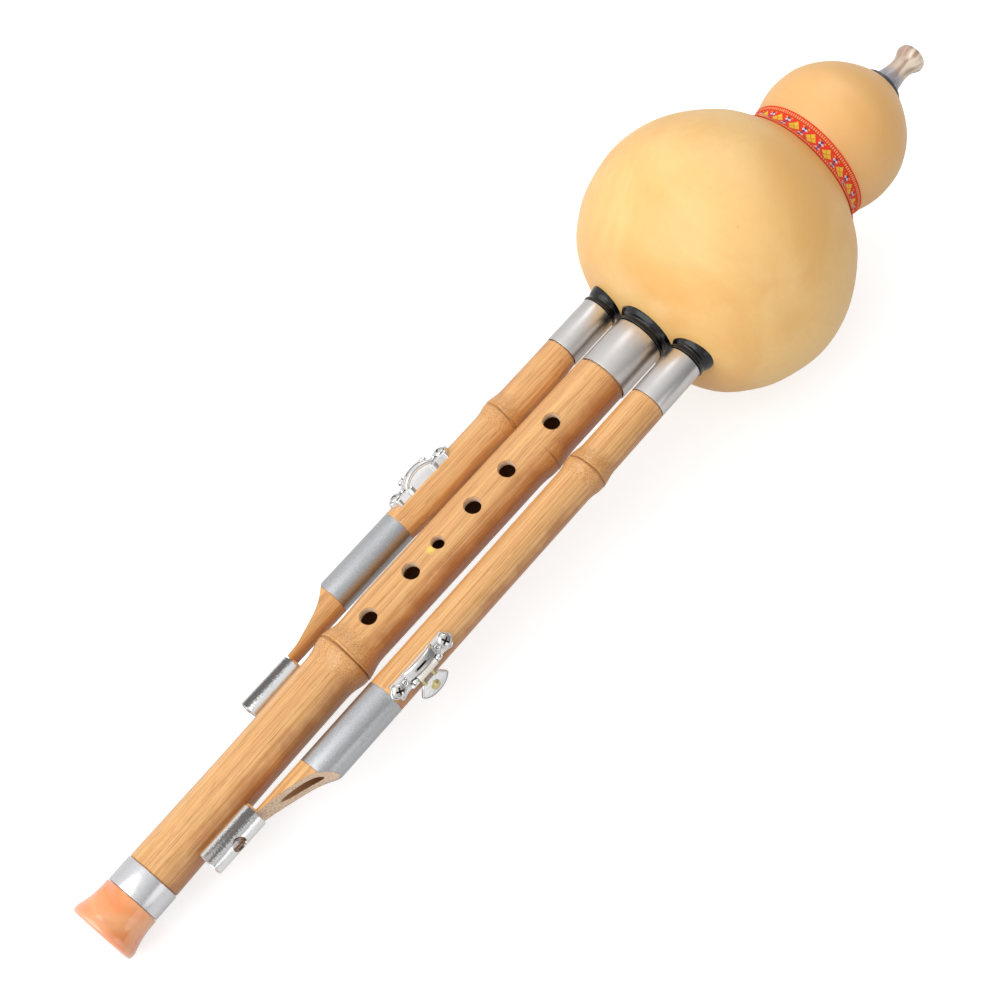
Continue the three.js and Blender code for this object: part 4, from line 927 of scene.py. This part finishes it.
mouthShape = {"baseRadius": 9.4, "baseTop": 5.6, "baseHeight": 5.2, "rim": 0.7, "length": 16.3, "foot": 5.4,
              "neck": 4.35, "flare": 6.2, "bore": 2.1, "tenonRadius": 3.6, "tenonLength": 10.0}
mouthEnd = SimpleNamespace(**mouthShape)
mouthTop = tipX + 3 * mouthEnd.rim


def makeMouthBase(material):
    # a ring turned to a fine bead, then a hollow curve that climbs into the pipe
    wide, narrow, bore = mouthEnd.baseRadius, mouthEnd.baseTop, mouthEnd.tenonRadius + 0.12
    start = tipX - 2.7 * mouthEnd.rim
    t = np.linspace(0, 1, 14)
    rise = np.stack([start + 0.9 + (tipX + 2.3 * mouthEnd.rim - start - 0.9) * t,
                     narrow + 0.25 + (wide - narrow - 0.9) * (1 - t) ** 2.1], axis=1)
    beads = rounded([[tipX - mouthEnd.baseHeight, bore], [tipX - mouthEnd.baseHeight, wide - 0.1],
                     [start - 0.5, wide + 0.05], [start - 0.25, wide - 0.35], [start, wide - 0.1],
                     [start + 0.75, wide - 0.35]], [0.1, 0.3, 0.3, 0.1, 0.25, 0.3], 4)
    close = [[mouthTop - 0.3, narrow + 0.1], [mouthTop, narrow - 0.1], [mouthTop, bore]]
    profile = np.concatenate([beads, rise, close])
    settle(addMesh("mouthBase", turnedGrid(profile, 112), leaned, material, sharp=40),
           "wind_chamber", "dark_horn", "mouthpiece_base")


def makeMouthpiece(material):
    foot = mouthTop + 0.1
    tip, back = foot + mouthEnd.length, foot - mouthEnd.tenonLength
    neck, flare, bore = mouthEnd.neck, mouthEnd.flare, mouthEnd.bore
    rise = flare - neck
    marks = [(0.0, mouthEnd.foot), (0.12, mouthEnd.foot - rise * 0.2), (0.28, neck + rise * 0.12),
             (0.45, neck), (0.62, neck + rise * 0.2), (0.76, neck + rise * 0.75), (0.84, flare),
             (0.93, flare - rise * 0.15), (0.985, flare - rise * 0.45), (1.0, flare - rise * 0.8)]
    outer = throughPoints([(foot + mouthEnd.length * run, radius) for run, radius in marks], 60)
    inner = [[tip, bore + 0.5], [tip - 0.5, bore], [back, bore], [back, mouthEnd.tenonRadius],
             [foot, mouthEnd.tenonRadius]]
    settle(addMesh("mouthPipe", turnedGrid(np.concatenate([outer, inner]), 112), leaned, material, sharp=45),
           "wind_chamber", "horn", "mouthpiece")


ribbonShape = {"width": 9.6, "cutWidth": 10.0, "place": 91.6, "thick": 0.8, "lift": 0.16, "overlap": 0.16,
               "repeats": 20, "joinAngle": math.pi, "columns": 900}
ribbonLook = {"ground": (250, 48, 22), "bright": (255, 80, 42), "yellow": (255, 216, 62),
              "violet": (92, 52, 116), "white": (244, 232, 242), "dark": (158, 26, 22),
              "edging": (255, 206, 124), "period": 8.5, "stitch": 0.34}


def makeRibbon(material):
    # across: t from -1 to 1 over the width; along: the angle round the waist. The outer face is
    # the gourd's radius + lift + thickness, crowned a little, and its edges are drawn in loops.
    shape = SimpleNamespace(**ribbonShape)
    angle = shape.joinAngle + np.linspace(0, tau + shape.overlap, shape.columns)
    t = np.concatenate([np.linspace(-1, 1, 21), np.linspace(1, -1, 15)])[:, None]
    top = np.repeat([1, 0], [21, 15])[:, None]
    loops = 0.10 * np.abs(np.sin(angle * shape.repeats * 3.5)) + 0.05 * np.sin(angle * 3 + 1)
    half = shape.width / 2 - 0.12 + loops
    x = gourdBase + shape.place + t * half + 0.22 * np.sin(angle * 2 + 0.6)
    over = np.clip((angle - shape.joinAngle - tau + 0.12) / 0.1, 0, 1)
    end = np.clip(np.minimum(angle - angle[0], angle[-1] - angle) / 0.004, 0, 1)
    height = shape.thick * (0.55 + 0.45 * (1 - np.abs(t) ** 3)) * top * end
    radius = gourdRadius(x) + shape.lift + over * shape.thick + height
    grid = np.stack([x, radius * np.sin(angle), radius * np.cos(angle)], axis=-1)
    # the map: pattern repeats along, millimetres across, for each corner of each cell
    run = (angle - angle[0])[None, :] / tau * shape.repeats
    across = np.concatenate([t, t[:1]]) * shape.width / 2
    u = np.stack([run[:, :-1], run[:, 1:], run[:, 1:], run[:, :-1]], axis=-1)
    v = np.stack([across[:-1], across[:-1], across[1:], across[1:]], axis=-1)
    uv = np.stack(np.broadcast_arrays(u, v), axis=-1)
    points = grid.reshape(-1, 3)
    if signedVolume(points - points.mean(axis=0), gridQuads(*grid.shape[:2], True, False)) < 0:
        uv = uv[:, :, ::-1]
    ribbon = addMesh("waistRibbon", grid, leaned, material, closedColumns=False, uv=uv.reshape(-1, 2),
                     sharp=80)
    settle(ribbon, "wind_chamber", "woven_ribbon", "waist_ribbon")
    length = float(gourdRadius(gourdBase + shape.place) * (tau + shape.overlap))


def ribbonMaterial():
    # read from the ribbon's own map: u counts pattern repeats, v is millimetres across
    look = SimpleNamespace(**ribbonLook)
    paint = newMaterial("woven braid", Roughness=0.85, Sheen_Weight=0.03, Sheen_Roughness=0.4)
    wrap = paint.add("ShaderNodeUVMap", uv_map="wrap")
    u, v = paint.parts(wrap)[:2]
    run = u * look.period + 1.36
    snapped = ((run / look.stitch).maths("FLOOR") + 0.5) * look.stitch
    du = abs(((snapped / look.period).maths("FRACT") - 0.5) * look.period)
    dv = abs((v / look.stitch).maths("ROUND") * look.stitch)
    dx = look.period / 2 - du

    def near(a, b, size):
        return (abs(a) + abs(b)).maths("LESS_THAN", size)

    # four yellow petals round each centre
    petals = near(du - 1.4, dv, 1.08).maths("MAXIMUM", near(du, dv - 1.4, 1.08))
    # two violet diamonds between them, each with a white point on both sides, and yellow dots
    diamonds = near(dx, dv - 1.42, 1.3)
    tips = near(dx - 0.68, dv - 1.36, 0.6)
    dots = near(dx - 1.36, dv - 2.38, 0.4)
    # dashes along both borders, and a dark line inside them
    dashes = abs(dv - 3.76).maths("LESS_THAN", 0.6) * (run / 1.02).maths("FRACT").maths("GREATER_THAN", 0.58)
    line = abs(dv - 3.1).maths("LESS_THAN", 0.18)
    fibre = paint.noise(paint.stretched(wrap, (40.0, 3.0, 1.0)), 1.0, 3, 0.6)
    threads = [abs((way / look.stitch).maths("FRACT") - 0.5) for way in (run, v)]
    weave = 1.0 - threads[0].maths("MAXIMUM", threads[1])
    shade = paint.mix(fibre.between(0.35, 0.65), look.ground, look.bright)
    for share, colour in ((line * 0.35, look.dark), (diamonds, look.violet), (tips * 0.9, look.white),
                          (petals.maths("MAXIMUM", dots), look.yellow), (dashes * 0.9, look.edging),
                          (weave.between(0.6, 0.52, 0.0, 0.3), look.dark)):
        shade = paint.mix(share, shade, colour)
    paint.set(Base_Color=shade)
    paint.bump(weave + petals.maths("MAXIMUM", dashes) * 0.4, 0.7, 0.2)
    return paint.material


keyShape = {
    "length": 31.6, "width": 7.2, "thick": 1.6,
    "runs": (0, 0.45, 0.52, 0.6, 0.7, 0.79, 0.855, 0.885, 0.94, 1),
    "widths": (1, 1, 0.82, 0.8, 0.9, 0.99, 0.94, 0.66, 0.42, 0.05), "waistReach": 5.6, "waistWidth": 2.95,
    "evenReach": 13.2, "evenShare": 0.475, "edgeEase": 0.42, "grooveDepth": 0.22, "grooveReach": 14.8,
    "windowLength": 4.6, "windowSides": (-2.8, 2.1), "screws": 24.3, "curlPlace": 8.6,
    "bridgeLength": 15.6, "bridgeHeight": 5.9, "bridgeOffset": 1.3, "slotLength": 7.6, "slotWidth": 0.84,
    "pinPlace": 1.8, "pinHeight": 3.7, "barrelLength": 9.3, "barrelRadius": 1.4, "lug": 1.9,
    "springBore": 1.28, "pinBore": 0.62, "tabLength": 10.2, "tabOffset": 1.2, "tabNeck": 3.2, "tabInner": 8.0,
    "tabOuter": 13.9, "tabSlope": 23.0, "tabThick": 0.9, "armSpread": 2.5, "armStart": 0.9, "armLength": 3.0,
    "buttonPlace": 0.66, "buttonRadius": 1.95,
}
screwShape = {"headRadius": 2.5, "headHeight": 1.1, "slotHalf": 0.33, "slotReach": 0.58, "slotShare": 0.42,
              "shankRadius": 0.8, "shankLength": 3.4}
springShape = {"turns": 2, "pitch": 0.9, "radius": 1.02, "wire": 0.16}
key, screw, spring = (SimpleNamespace(**shape) for shape in (keyShape, screwShape, springShape))
for voice in voices:
    voice.plateTop = voice.radius + fitGap + key.thick
    voice.axle = voice.key @ shift(0, key.pinPlace, voice.radius + key.pinHeight)
    voice.tab = (voice.axle @ turn("X", -key.tabSlope)
                 @ shift(key.tabOffset, key.tabLength * key.buttonPlace, 0))


def plateGrid(voice):
    # width as a smooth curve of the share of the length; each section is a bar with eased upper
    # edges whose foot follows the pipe: z = sqrt(r^2 - y^2)
    line = throughPoints(np.stack([key.runs, key.widths], axis=1), 140)
    half = line[:, 1] * key.width / 2
    x = np.concatenate([-line[::-1, 0], line[1:, 0]])[:, None] * key.length / 2
    wide = np.concatenate([half[::-1], half[1:]])[:, None]
    inner = np.clip((key.waistReach - np.abs(x)) / 0.8, 0, 1)
    outward = wide * (1 - inner) + np.minimum(wide, key.waistWidth) * inner
    even = np.clip((key.evenReach - np.abs(x)) / 1.2, 0, 1)
    inward = np.maximum(wide * (1 - inner * 0.16), even * key.evenShare * key.width)
    t = np.concatenate([np.linspace(-1, 1, 25), np.linspace(1, -1, 13)])
    reach = np.where(t > 0, outward, inward)
    y = t * reach
    room = reach * (1 - np.abs(t))
    ease = key.edgeEase
    fall = ease - np.sqrt(np.maximum(ease ** 2 - np.maximum(ease - room, 0) ** 2, 0))
    groove = key.grooveDepth * np.exp(-((room - 0.95) / 0.16) ** 2) * (np.abs(x) < key.grooveReach)
    foot = np.sqrt(np.maximum((voice.radius + 0.04) ** 2 - y ** 2, 0))
    z = np.where(np.arange(len(t)) < 25, np.maximum(voice.plateTop - fall - groove, foot + 0.2), foot)
    z[[0, -1]] = z[[0, -1]].mean(axis=1, keepdims=True)
    y[[0, -1]] = 0
    return np.stack(np.broadcast_arrays(x, y, z), axis=-1)


def bowGrid(voice):
    # a pressed hood over the pad: its section rises as half an ellipse along x; the wall on the inner
    # side stands back under a rail with a round shoulder, and the side towards the barrel is open
    half = key.bridgeLength / 2
    x = half * np.sin(np.linspace(-math.pi / 2, math.pi / 2, 61))[:, None]
    base = voice.plateTop - 0.35
    rise = voice.radius + key.bridgeHeight - base
    crown = base + rise * np.sqrt(np.maximum(1 - (x / half) ** 2, 0)) ** 1.15
    outline = rounded([[-1.84, -9], [-1.84, -1.75], [-2.12, -1.5], [-2.12, 0], [1.5, 0], [1.5, -0.45],
                       [-1.5, -0.45], [-1.5, -9]], [0.05, 0.15, 0.12, 1.3, 0.3, 0.15, 0.3, 0.05], 7)
    z = np.maximum(crown + outline[:, 1], base - 0.3)
    grid = np.stack(np.broadcast_arrays(x, outline[:, 0] - key.bridgeOffset, z), axis=-1)
    return capped(grid, grid[[0, -1]].mean(axis=1))


def curlGrid(voice, side):
    # a raised scroll: a wire on a spiral that winds in and sinks into the plate
    angle = np.linspace(0, 1.55 * tau, 70)
    reach = 1.25 * (1 - angle / (1.9 * tau))
    path = np.stack([side * key.curlPlace + reach * np.cos(angle) * side, -0.6 + reach * np.sin(angle),
                     voice.plateTop + 0.12 + 0.12 * np.sin(angle / 2)], axis=1)
    return tubeGrid(path, 0.3 * np.clip(np.minimum(angle, angle[-1] - angle) / 0.5, 0.12, 1), 10)


def lugGrid(voice, side):
    # an upright with a round head, carried along the pipe, its faces eased at both ends
    size = key.barrelRadius - 0.2
    angle = np.linspace(0, math.pi, 18)
    head = np.stack([size * np.cos(angle), voice.radius + key.pinHeight + size * np.sin(angle)], axis=1)
    legs = [[-size, voice.radius + 1.0], [size, voice.radius + 1.0]]
    outline = np.concatenate([head, legs]) + (key.pinPlace, 0)
    start = key.barrelLength / 2 + fitGap
    marks = ((0, 0), (0, 0.8), (0.08, 0.93), (0.25, 1), (0.6, 1), (0.82, 0.93), (0.95, 0.8), (1, 0.6), (1, 0))
    rows = [(side * (start + key.lug * share), scale) for share, scale in marks]
    return scaledRows(outline, outline.mean(axis=0), rows)


def boxCutter(length, sides, heights, place):
    # a block centred along x, between two sides and two heights
    (left, right), (low, high), half = sides, heights, length / 2
    outline = np.array([[left, low], [right, low], [right, high], [left, high]])
    rows = ((-half, 0), (-half, 1), (half, 1), (half, 0))
    return addMesh("window", scaledRows(outline, outline.mean(axis=0), rows), place, closedRows=False)


def makeKeyBase(voice, material):
    def part(label, grids, sharp=34):
        return addMesh(f"{voice.name}Key{label}", grids, voice.key, material, closedRows=False, sharp=sharp)

    plate = part("Plate", plateGrid(voice))
    carve(plate, [boxCutter(key.windowLength, key.windowSides, (0, voice.radius + 6), voice.key)])
    settle(plate, voice.body, "polished_steel", f"{voice.name}_key_base")
    bow = part("Bow", bowGrid(voice), 50)
    slotSides = (-key.bridgeOffset - key.slotWidth / 2, -key.bridgeOffset + key.slotWidth / 2)
    slot = boxCutter(key.slotLength, slotSides, (voice.radius + 2.6, voice.radius + 8), voice.key)
    carve(bow, [slot], sharp=50)
    settle(bow, voice.body, "polished_steel")
    settle(part("Scrolls", [curlGrid(voice, side) for side in (-1, 1)], 60), voice.body, "polished_steel")
    settle(part("Lugs", [lugGrid(voice, side) for side in (-1, 1)]), voice.body, "polished_steel")


def screwGrid(seat):
    # a domed head whose height drops along two crossed slots, then the shank down to its end
    size, foot = screw.headRadius, seat - screw.shankLength
    angle = circle(96)
    shank = np.array([[size - 0.05, seat], [screw.shankRadius, seat], [screw.shankRadius, foot], [0, foot]])
    reach = np.concatenate([np.linspace(0, 1, 34) * size, shank[:, 0]])[:, None]
    x, y = reach * np.cos(angle), reach * np.sin(angle)
    dome = screw.headHeight * np.sqrt(np.maximum(1 - (reach / size) ** 2 * 0.93, 0))
    least, most = np.minimum(np.abs(x), np.abs(y)), np.maximum(np.abs(x), np.abs(y))
    slots = (least < screw.slotHalf) & (most < size * screw.slotReach)
    z = seat + np.where(slots, dome * screw.slotShare, dome)
    z[34:] = shank[:, 1:]
    return np.stack([x, y, z], axis=-1)


def screwMaterial(name, place, seat):
    # bright heads whose crossed slots are coloured dark: low and near the middle
    paint, spot, wear = wornMaterial(name, place, 2.5, Metallic=1.0)
    x, y, z = paint.parts(spot)
    low = z.between(seat + 0.78, seat + 0.6) * (x * x + y * y).maths("SQRT").between(1.75, 1.6)
    shade = paint.mix(wear["Patch"] * 0.3, (220, 218, 215), (190, 186, 182))
    paint.set(Base_Color=paint.mix(low, shade, (66, 50, 42)), Roughness=low * 0.5 + 0.16)
    return paint.material


def makeScrews(voice):
    seat = voice.plateTop + fitGap * 0.2
    for label, side, spin in (("lower", -1, 20), ("upper", 1, 62)):
        place = voice.key @ shift(side * key.screws / 2, 0, 0) @ turn("Z", spin)
        look = screwMaterial(f"screw head, {voice.name} {label}", place, seat)
        piece = addMesh(f"{voice.name}Screw_{label}", screwGrid(seat), place, look, closedRows=False,
                        sharp=40)
        settle(piece, voice.body, "polished_steel", f"{voice.name}_key_screw_{label}")


def fanOutline():
    # the tab seen from above, about its button: straight shoulder, spread sides, one long curve
    middle = key.tabLength * key.buttonPlace
    inner, outer = key.tabInner / 2, key.tabOuter / 2
    low, wide, end = key.tabNeck - middle, key.tabLength * 0.7 - middle, key.tabLength - middle
    arc = curve(np.linspace(0, 1, 40)[:, None], np.array([outer, wide]), np.array([outer * 0.7, end]),
                np.array([0, end]))
    side = np.linspace([inner, low], [outer, wide], 16)[:-1]
    foot = np.linspace([0, low], [inner, low], 10)[:-1]
    half = np.concatenate([foot, side, arc])
    whole = np.concatenate([half, half[1:-1][::-1] * np.array([-1, 1])])
    for _ in range(6):
        # each point moves towards its two neighbours
        whole = 0.25 * np.roll(whole, -1, axis=0) + 0.5 * whole + 0.25 * np.roll(whole, 1, axis=0)
    return whole


def makeLever(voice, chrome, gold, pearl, ivory):
    def part(label, grids, place, material, *nodes, closedRows=False, sharp=34):
        settle(addMesh(voice.name + label, grids, place, material, closedRows=closedRows, sharp=sharp),
               f"{voice.name}_key", "polished_steel", *nodes)

    outline = fanOutline()
    # for each row its height in the tab's thickness, and the share of the outline's size
    trayRows = np.array([(-0.5, 0), (-0.5, 0.95), (-0.3, 1), (0.35, 1), (0.62, 0.97), (0.62, 0.93),
                         (0.2, 0.9), (0.2, 0)])
    inlayRows = np.array([(0.2, 0), (0.2, 0.9), (0.42, 0.9), (0.56, 0.86), (0.64, 0.78), (0.7, 0.66),
                          (0.74, 0.54), (0.77, 0.42), (0.79, 0.3), (0.8, 0.2), (0.8, 0)])
    tray, inlay = (scaledRows(outline, 0, rows * (key.tabThick, 1), (1, 2, 0))
                   for rows in (trayRows, inlayRows))
    inlay[4:9, :, 2] += 0.045 * np.cos(np.arctan2(outline[:, 1], outline[:, 0]) * 12)
    part("TabTray", tray, voice.tab, chrome, f"{voice.name}_key_lever")
    t = np.linspace(0, 1, 14)
    along = key.armStart + key.armLength * t - key.tabLength * key.buttonPlace
    path = np.stack([np.full(14, key.armSpread), along, -0.25 + 0.35 * t ** 2], axis=1)
    arms = [tubeGrid(path * (side, 1, 1), 0.42 + 0.3 * t, 14, flatten=1.35) for side in (-1, 1)]
    part("TabArms", arms, voice.tab, gold)
    part("TabPearl", inlay, voice.tab, pearl, sharp=50)
    # the barrel: a tube with fine rings, its bore wide enough at one end to hide the spring
    x = np.linspace(-key.barrelLength / 2, key.barrelLength / 2, 220)
    edge = np.clip(np.minimum(x - x[0], x[-1] - x) / 0.35, 0, 1)
    outer = key.barrelRadius + 0.14 * np.sqrt(edge) - 0.09 * np.abs(np.sin(x * math.pi / 1.05))
    bore = np.where(x < -2.1, key.springBore, key.pinBore)
    profile = np.concatenate([np.stack([x, outer], axis=1), np.stack([x, bore], axis=1)[::-6]])
    part("Barrel", turnedGrid(profile, 56), voice.axle, ivory, closedRows=True, sharp=50)
    t = np.linspace(0, 1, 8)
    path = np.stack([np.zeros(8), 1.0 - 2.9 * t, -0.95 - 0.2 * t], axis=1)
    part("PadArm", tubeGrid(path, 0.42, 14, flatten=3.6), voice.axle, chrome)


def makeButton(voice, material):
    size = key.buttonRadius
    marks = np.array([(0, 0), (0, 0.97), (0.14, 1), (0.3, 0.93), (0.42, 0.8), (0.4, 0.72), (0.52, 0.62),
                      (0.66, 0.34), (0.7, 0)])
    profile = marks * (1, size) + (key.tabThick * 0.75, 0)
    button = addMesh(f"{voice.name}Button", turnedGrid(profile, 64), voice.tab @ turn("Y", -90), material,
                     closedRows=False)
    settle(button, f"{voice.name}_key", "brass", f"{voice.name}_key_button")


def makeSpring(voice, material):
    # a helix round the pin: x climbs evenly while the point turns at a fixed radius
    angle = np.linspace(0, spring.turns * tau, 160)
    path = np.stack([-key.barrelLength / 2 + spring.wire + angle / tau * spring.pitch,
                     key.pinPlace + spring.radius * np.cos(angle),
                     voice.radius + key.pinHeight + spring.radius * np.sin(angle)], axis=1)
    coil = addMesh(f"{voice.name}Spring", tubeGrid(path, spring.wire, 10), voice.key, material,
                   closedRows=False)
    settle(coil, voice.body, "spring_steel", f"{voice.name}_key_spring")


def finishNode(node, material):
    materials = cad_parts[node].data.materials
    materials.clear()
    materials.append(material)


mainNodes = [(nodeX, main.zoneReach, False), (upperNodeX, main.upperZoneReach, True)]
stain = (mainHoles[main.smallNumber] - main.stainGap, 0.0, main.stainSize)
# 0.55 turns the painted shade round the main pipe
makeMainPipe(bambooMaterial("bamboo, main pipe", straight, main.radius, main.bore, mainNodes, 0.55, stain,
                            (nodeX, layout["bendDegrees"])))
print("main pipe made")
makeGourd(gourdMaterial())
print("gourd made")
sockets = socketMaterial()
makeCollar("main", mainCollarStart, tubes.mainFerruleRadius, collar.mainFlange, 0.0, straight, sockets)
makeFerrule("mainFerrule", pipeHead + fitGap, layout["mainFerruleLength"], tubes.mainFerruleRadius, straight,
            "main_voice", brushedMaterial("brushed steel, main", straight, (214, 210, 207), 0.24, 9.0, 0.02),
            "main_ferrule")
makeFerrule("endRing", endRingStart, layout["endRingLength"], tubes.endRingRadius, bent, "main_voice",
            brushedMaterial("polished ring", bent, (218, 218, 221), 0.2, 5.0, 0.03), "end_ferrule",
            "polished_steel")
makeBell(agateMaterial())
makeMouthBase(hornMaterial("dark horn", leaned, (138, 142, 154), (184, 184, 190), 0.7, 0.12,
                           (tipX + 0.2, tipX + 2.6, (34, 30, 34))))
makeMouthpiece(hornMaterial("pale horn", leaned, (246, 230, 208), (150, 100, 72), 0.75, 0.12,
                            (tipX + 3.0, tipX + 10.0, (150, 156, 172))))
makeRibbon(ribbonMaterial())
print("bell, mouthpiece and ribbon made")

for voice in voices:
    name, place = voice.name, voice.frame
    # the last argument turns the painted shade round the drone's cane
    cane = bambooMaterial(f"bamboo, {name} drone", place, voice.radius, voice.bore * drone.boreShare,
                          [(voice.node, drone.zoneReach, False)], -0.25 * voice.side)
    makeDronePipe(voice, cane)
    makeCollar(name, droneCollarStart, voice.radius, voice.flange, layout["socketSpacing"], place, sockets)
    steel = brushedMaterial(f"brushed steel, {name}", place, (213, 210, 208), 0.24, 9.0, 0.02)
    makeFerrule(f"{name}Ferrule", voice.head + fitGap, drone.ferruleLength, voice.radius + 0.3 * voice.oval,
                place, voice.body, steel, f"{name}_ferrule")
    makeSleeve(voice, grainedMaterial(f"satin aluminium, {name}", place, (198, 199, 202)))
    # the tail's last number turns its dark strip of painted reflection
    makeTail(voice, beatenMaterial(f"beaten tail tube, {name}", voice.tail, (228, 228, 228), 1.5, 0.34, 0.08,
                                   0.15, 10.0 + 12.0 * voice.side))
    # the brown given last is painted shade in the plate's corners
    chrome = beatenMaterial(f"bright key plate, {name}", voice.key, (232, 231, 230), 0.45, 0.06, 0.02, 0.18,
                            creviceShade=(92, 74, 62))
    makeKeyBase(voice, chrome)
    makeScrews(voice)
    gold = beatenMaterial(f"gilt key parts, {name}", voice.key, (214, 200, 150), 0.9, 0.1, 0.03, 0.3)
    pearl = hornMaterial(f"pearl tab, {name}", voice.key, (250, 250, 250), (226, 228, 232), 0.7, 0.18)
    ivory = hornMaterial(f"ivory barrel, {name}", voice.key, (250, 246, 238), (232, 224, 210), 0.6, 0.2)
    makeLever(voice, chrome, gold, pearl, ivory)
    makeButton(voice, gold)
    wire = brushedMaterial(f"spring steel, {name}", voice.key, (150, 152, 154), 0.25)
    makeSpring(voice, wire)
    finishNode(f"{name}_key_pin", wire)
    finishNode(f"{name}_key_pad", plainFinish(f"pad leather, {name}", place, (104, 74, 52), (78, 54, 38), 2.4,
                                              0.7, 0.5))
    print(name, "drone and key made")

innerFinishes = {
    "reed_tube": plainFinish("plain cane", straight, (214, 170, 108), (186, 138, 82), 0.8, 0.5, 0.3),
    "reed": brushedMaterial("reed brass", straight, (206, 172, 92), 0.22),
    "wax_seal": plainFinish("beeswax", straight, (196, 150, 72), (170, 122, 52), 0.5, 0.45, 0.6),
}
for name in ("main", "left", "right"):
    for part, finish in innerFinishes.items():
        finishNode(f"{name}_{part}", finish)
print("inner parts finished")

view = {"fieldDegrees": 25.363, "spot": (3.96, -292.66, 739.7), "turnDegrees": 14.607,
        "rightShares": (0.68141853, 0.73189397)}
lamps = [
    # name, right, up and back shares of the way to the lamp, distance in m, size in m, watts
    ("key", -0.8, 0.05, 0.85, 1.6, 2.0, 20.0),
    ("fill", 0.9, -0.5, 0.7, 1.6, 0.9, 2.0),
    ("back", 0.1, 1.0, 0.35, 1.5, 0.9, 3.0),
]
lampTarget = np.array([0, 0, 0.04])


def unit(vector):
    return vector / np.linalg.norm(vector)


def cameraAxes():
    # the axes of the picture, worked out in the pipes' frame: along, across and out, then turned
    across = unit(np.array([-0.0066, -0.9304, -0.3665]))
    out = np.array([0, -0.3665, 0.9304])
    out = unit(out - across * out.dot(across))
    along = np.cross(out, across)
    tilt = math.radians(view["turnDegrees"])
    onward = along * math.cos(tilt) + out * math.sin(tilt)
    back = out * math.cos(tilt) - along * math.sin(tilt)
    first, second = view["rightShares"]
    axes = (onward * first + across * second, onward * second - across * first, back)
    return [table[:3, :3] @ axis for axis in axes]


def stand(piece, x, y, z, spot):
    # the piece's axes and its place are the columns of its matrix
    matrix = np.eye(4)
    matrix[:3] = np.stack([x, y, z, spot], axis=1)
    piece.matrix_world = Matrix(matrix.tolist())


def placeCamera(right, up, back):
    camera = addObject("camera", bpy.data.cameras.new("camera"))
    stand(camera, right, up, back, moved(np.array([view["spot"]]), table)[0] * 0.001)
    camera.data.sensor_fit = "HORIZONTAL"
    camera.data.angle = math.radians(view["fieldDegrees"])
    camera.data.clip_end = 20
    bpy.context.scene.camera = camera


def placeLamps(right, up, back):
    for name, across, rise, near, distance, size, power in lamps:
        way = unit(across * right + rise * up + near * back)
        light = bpy.data.lights.new(name, "AREA")
        light.shape = "DISK"
        light.size = size
        light.energy = power
        side = unit(np.cross([0.0, 0.0, 1.0], way))
        stand(addObject(name, light), side, np.cross(way, side), way, lampTarget + way * distance)


def makeWorld(right, up, back):
    # a white room that is brighter on the side of the key lamp: the share of its strength climbs
    # with the direction's length along the way to the lamp
    world = bpy.data.worlds.new("studio")
    bpy.context.scene.world = world
    world.use_nodes = True
    paint = Paint(world.node_tree, world.node_tree.nodes["Background"].inputs)
    seen, through, mirrored = (paint.add("ShaderNodeLightPath", output=f"Is {kind} Ray")
                               for kind in ("Camera", "Transmission", "Glossy"))
    facing = paint.add("ShaderNodeVectorMath", {0: paint.add("ShaderNodeTexCoord", output="Generated"),
                       1: unit(-0.75 * right + 0.25 * up + 0.6 * back)}, "Value", operation="DOT_PRODUCT")
    facing = facing.between(-0.7, 0.8)
    strength = facing * 0.3 + 0.34 + mirrored * (facing * 0.5 - 0.14)
    paint.set(Color=(1, 1, 1, 1), Strength=strength.maths("MAXIMUM", seen.maths("MAXIMUM", through)))


def makeFloor():
    # a wide sheet of paper: matt, and lifted to white where the camera or a mirror sees it
    size, height = 2.5, -0.0003
    mesh = bpy.data.meshes.new("floor")
    corners = [(x * size, y * size, height) for x, y in ((-1, -1), (1, -1), (1, 1), (-1, 1))]
    mesh.from_pydata(corners, [], [(0, 1, 2, 3)])
    paint = newMaterial("floor paper", Roughness=0.9, Specular_IOR_Level=0.1, Emission_Color=(1, 1, 1, 1))
    tone = paint.noise(paint.add("ShaderNodeTexCoord", output="Object"), 30, 3, 0.5)
    seen, mirrored = (paint.add("ShaderNodeLightPath", output=f"Is {kind} Ray")
                      for kind in ("Camera", "Glossy"))
    paint.set(Base_Color=paint.mix(tone, (200, 200, 200), (204, 204, 204)),
              Emission_Strength=seen * 0.66 + mirrored * 0.25)
    mesh.materials.append(paint.material)
    addObject("floor", mesh)


picture = cameraAxes()
placeCamera(*picture)
placeLamps(*picture)
makeWorld(*picture)
makeFloor()
bpy.context.scene.view_settings.view_transform = "Standard"
print("camera, lamps and floor placed")
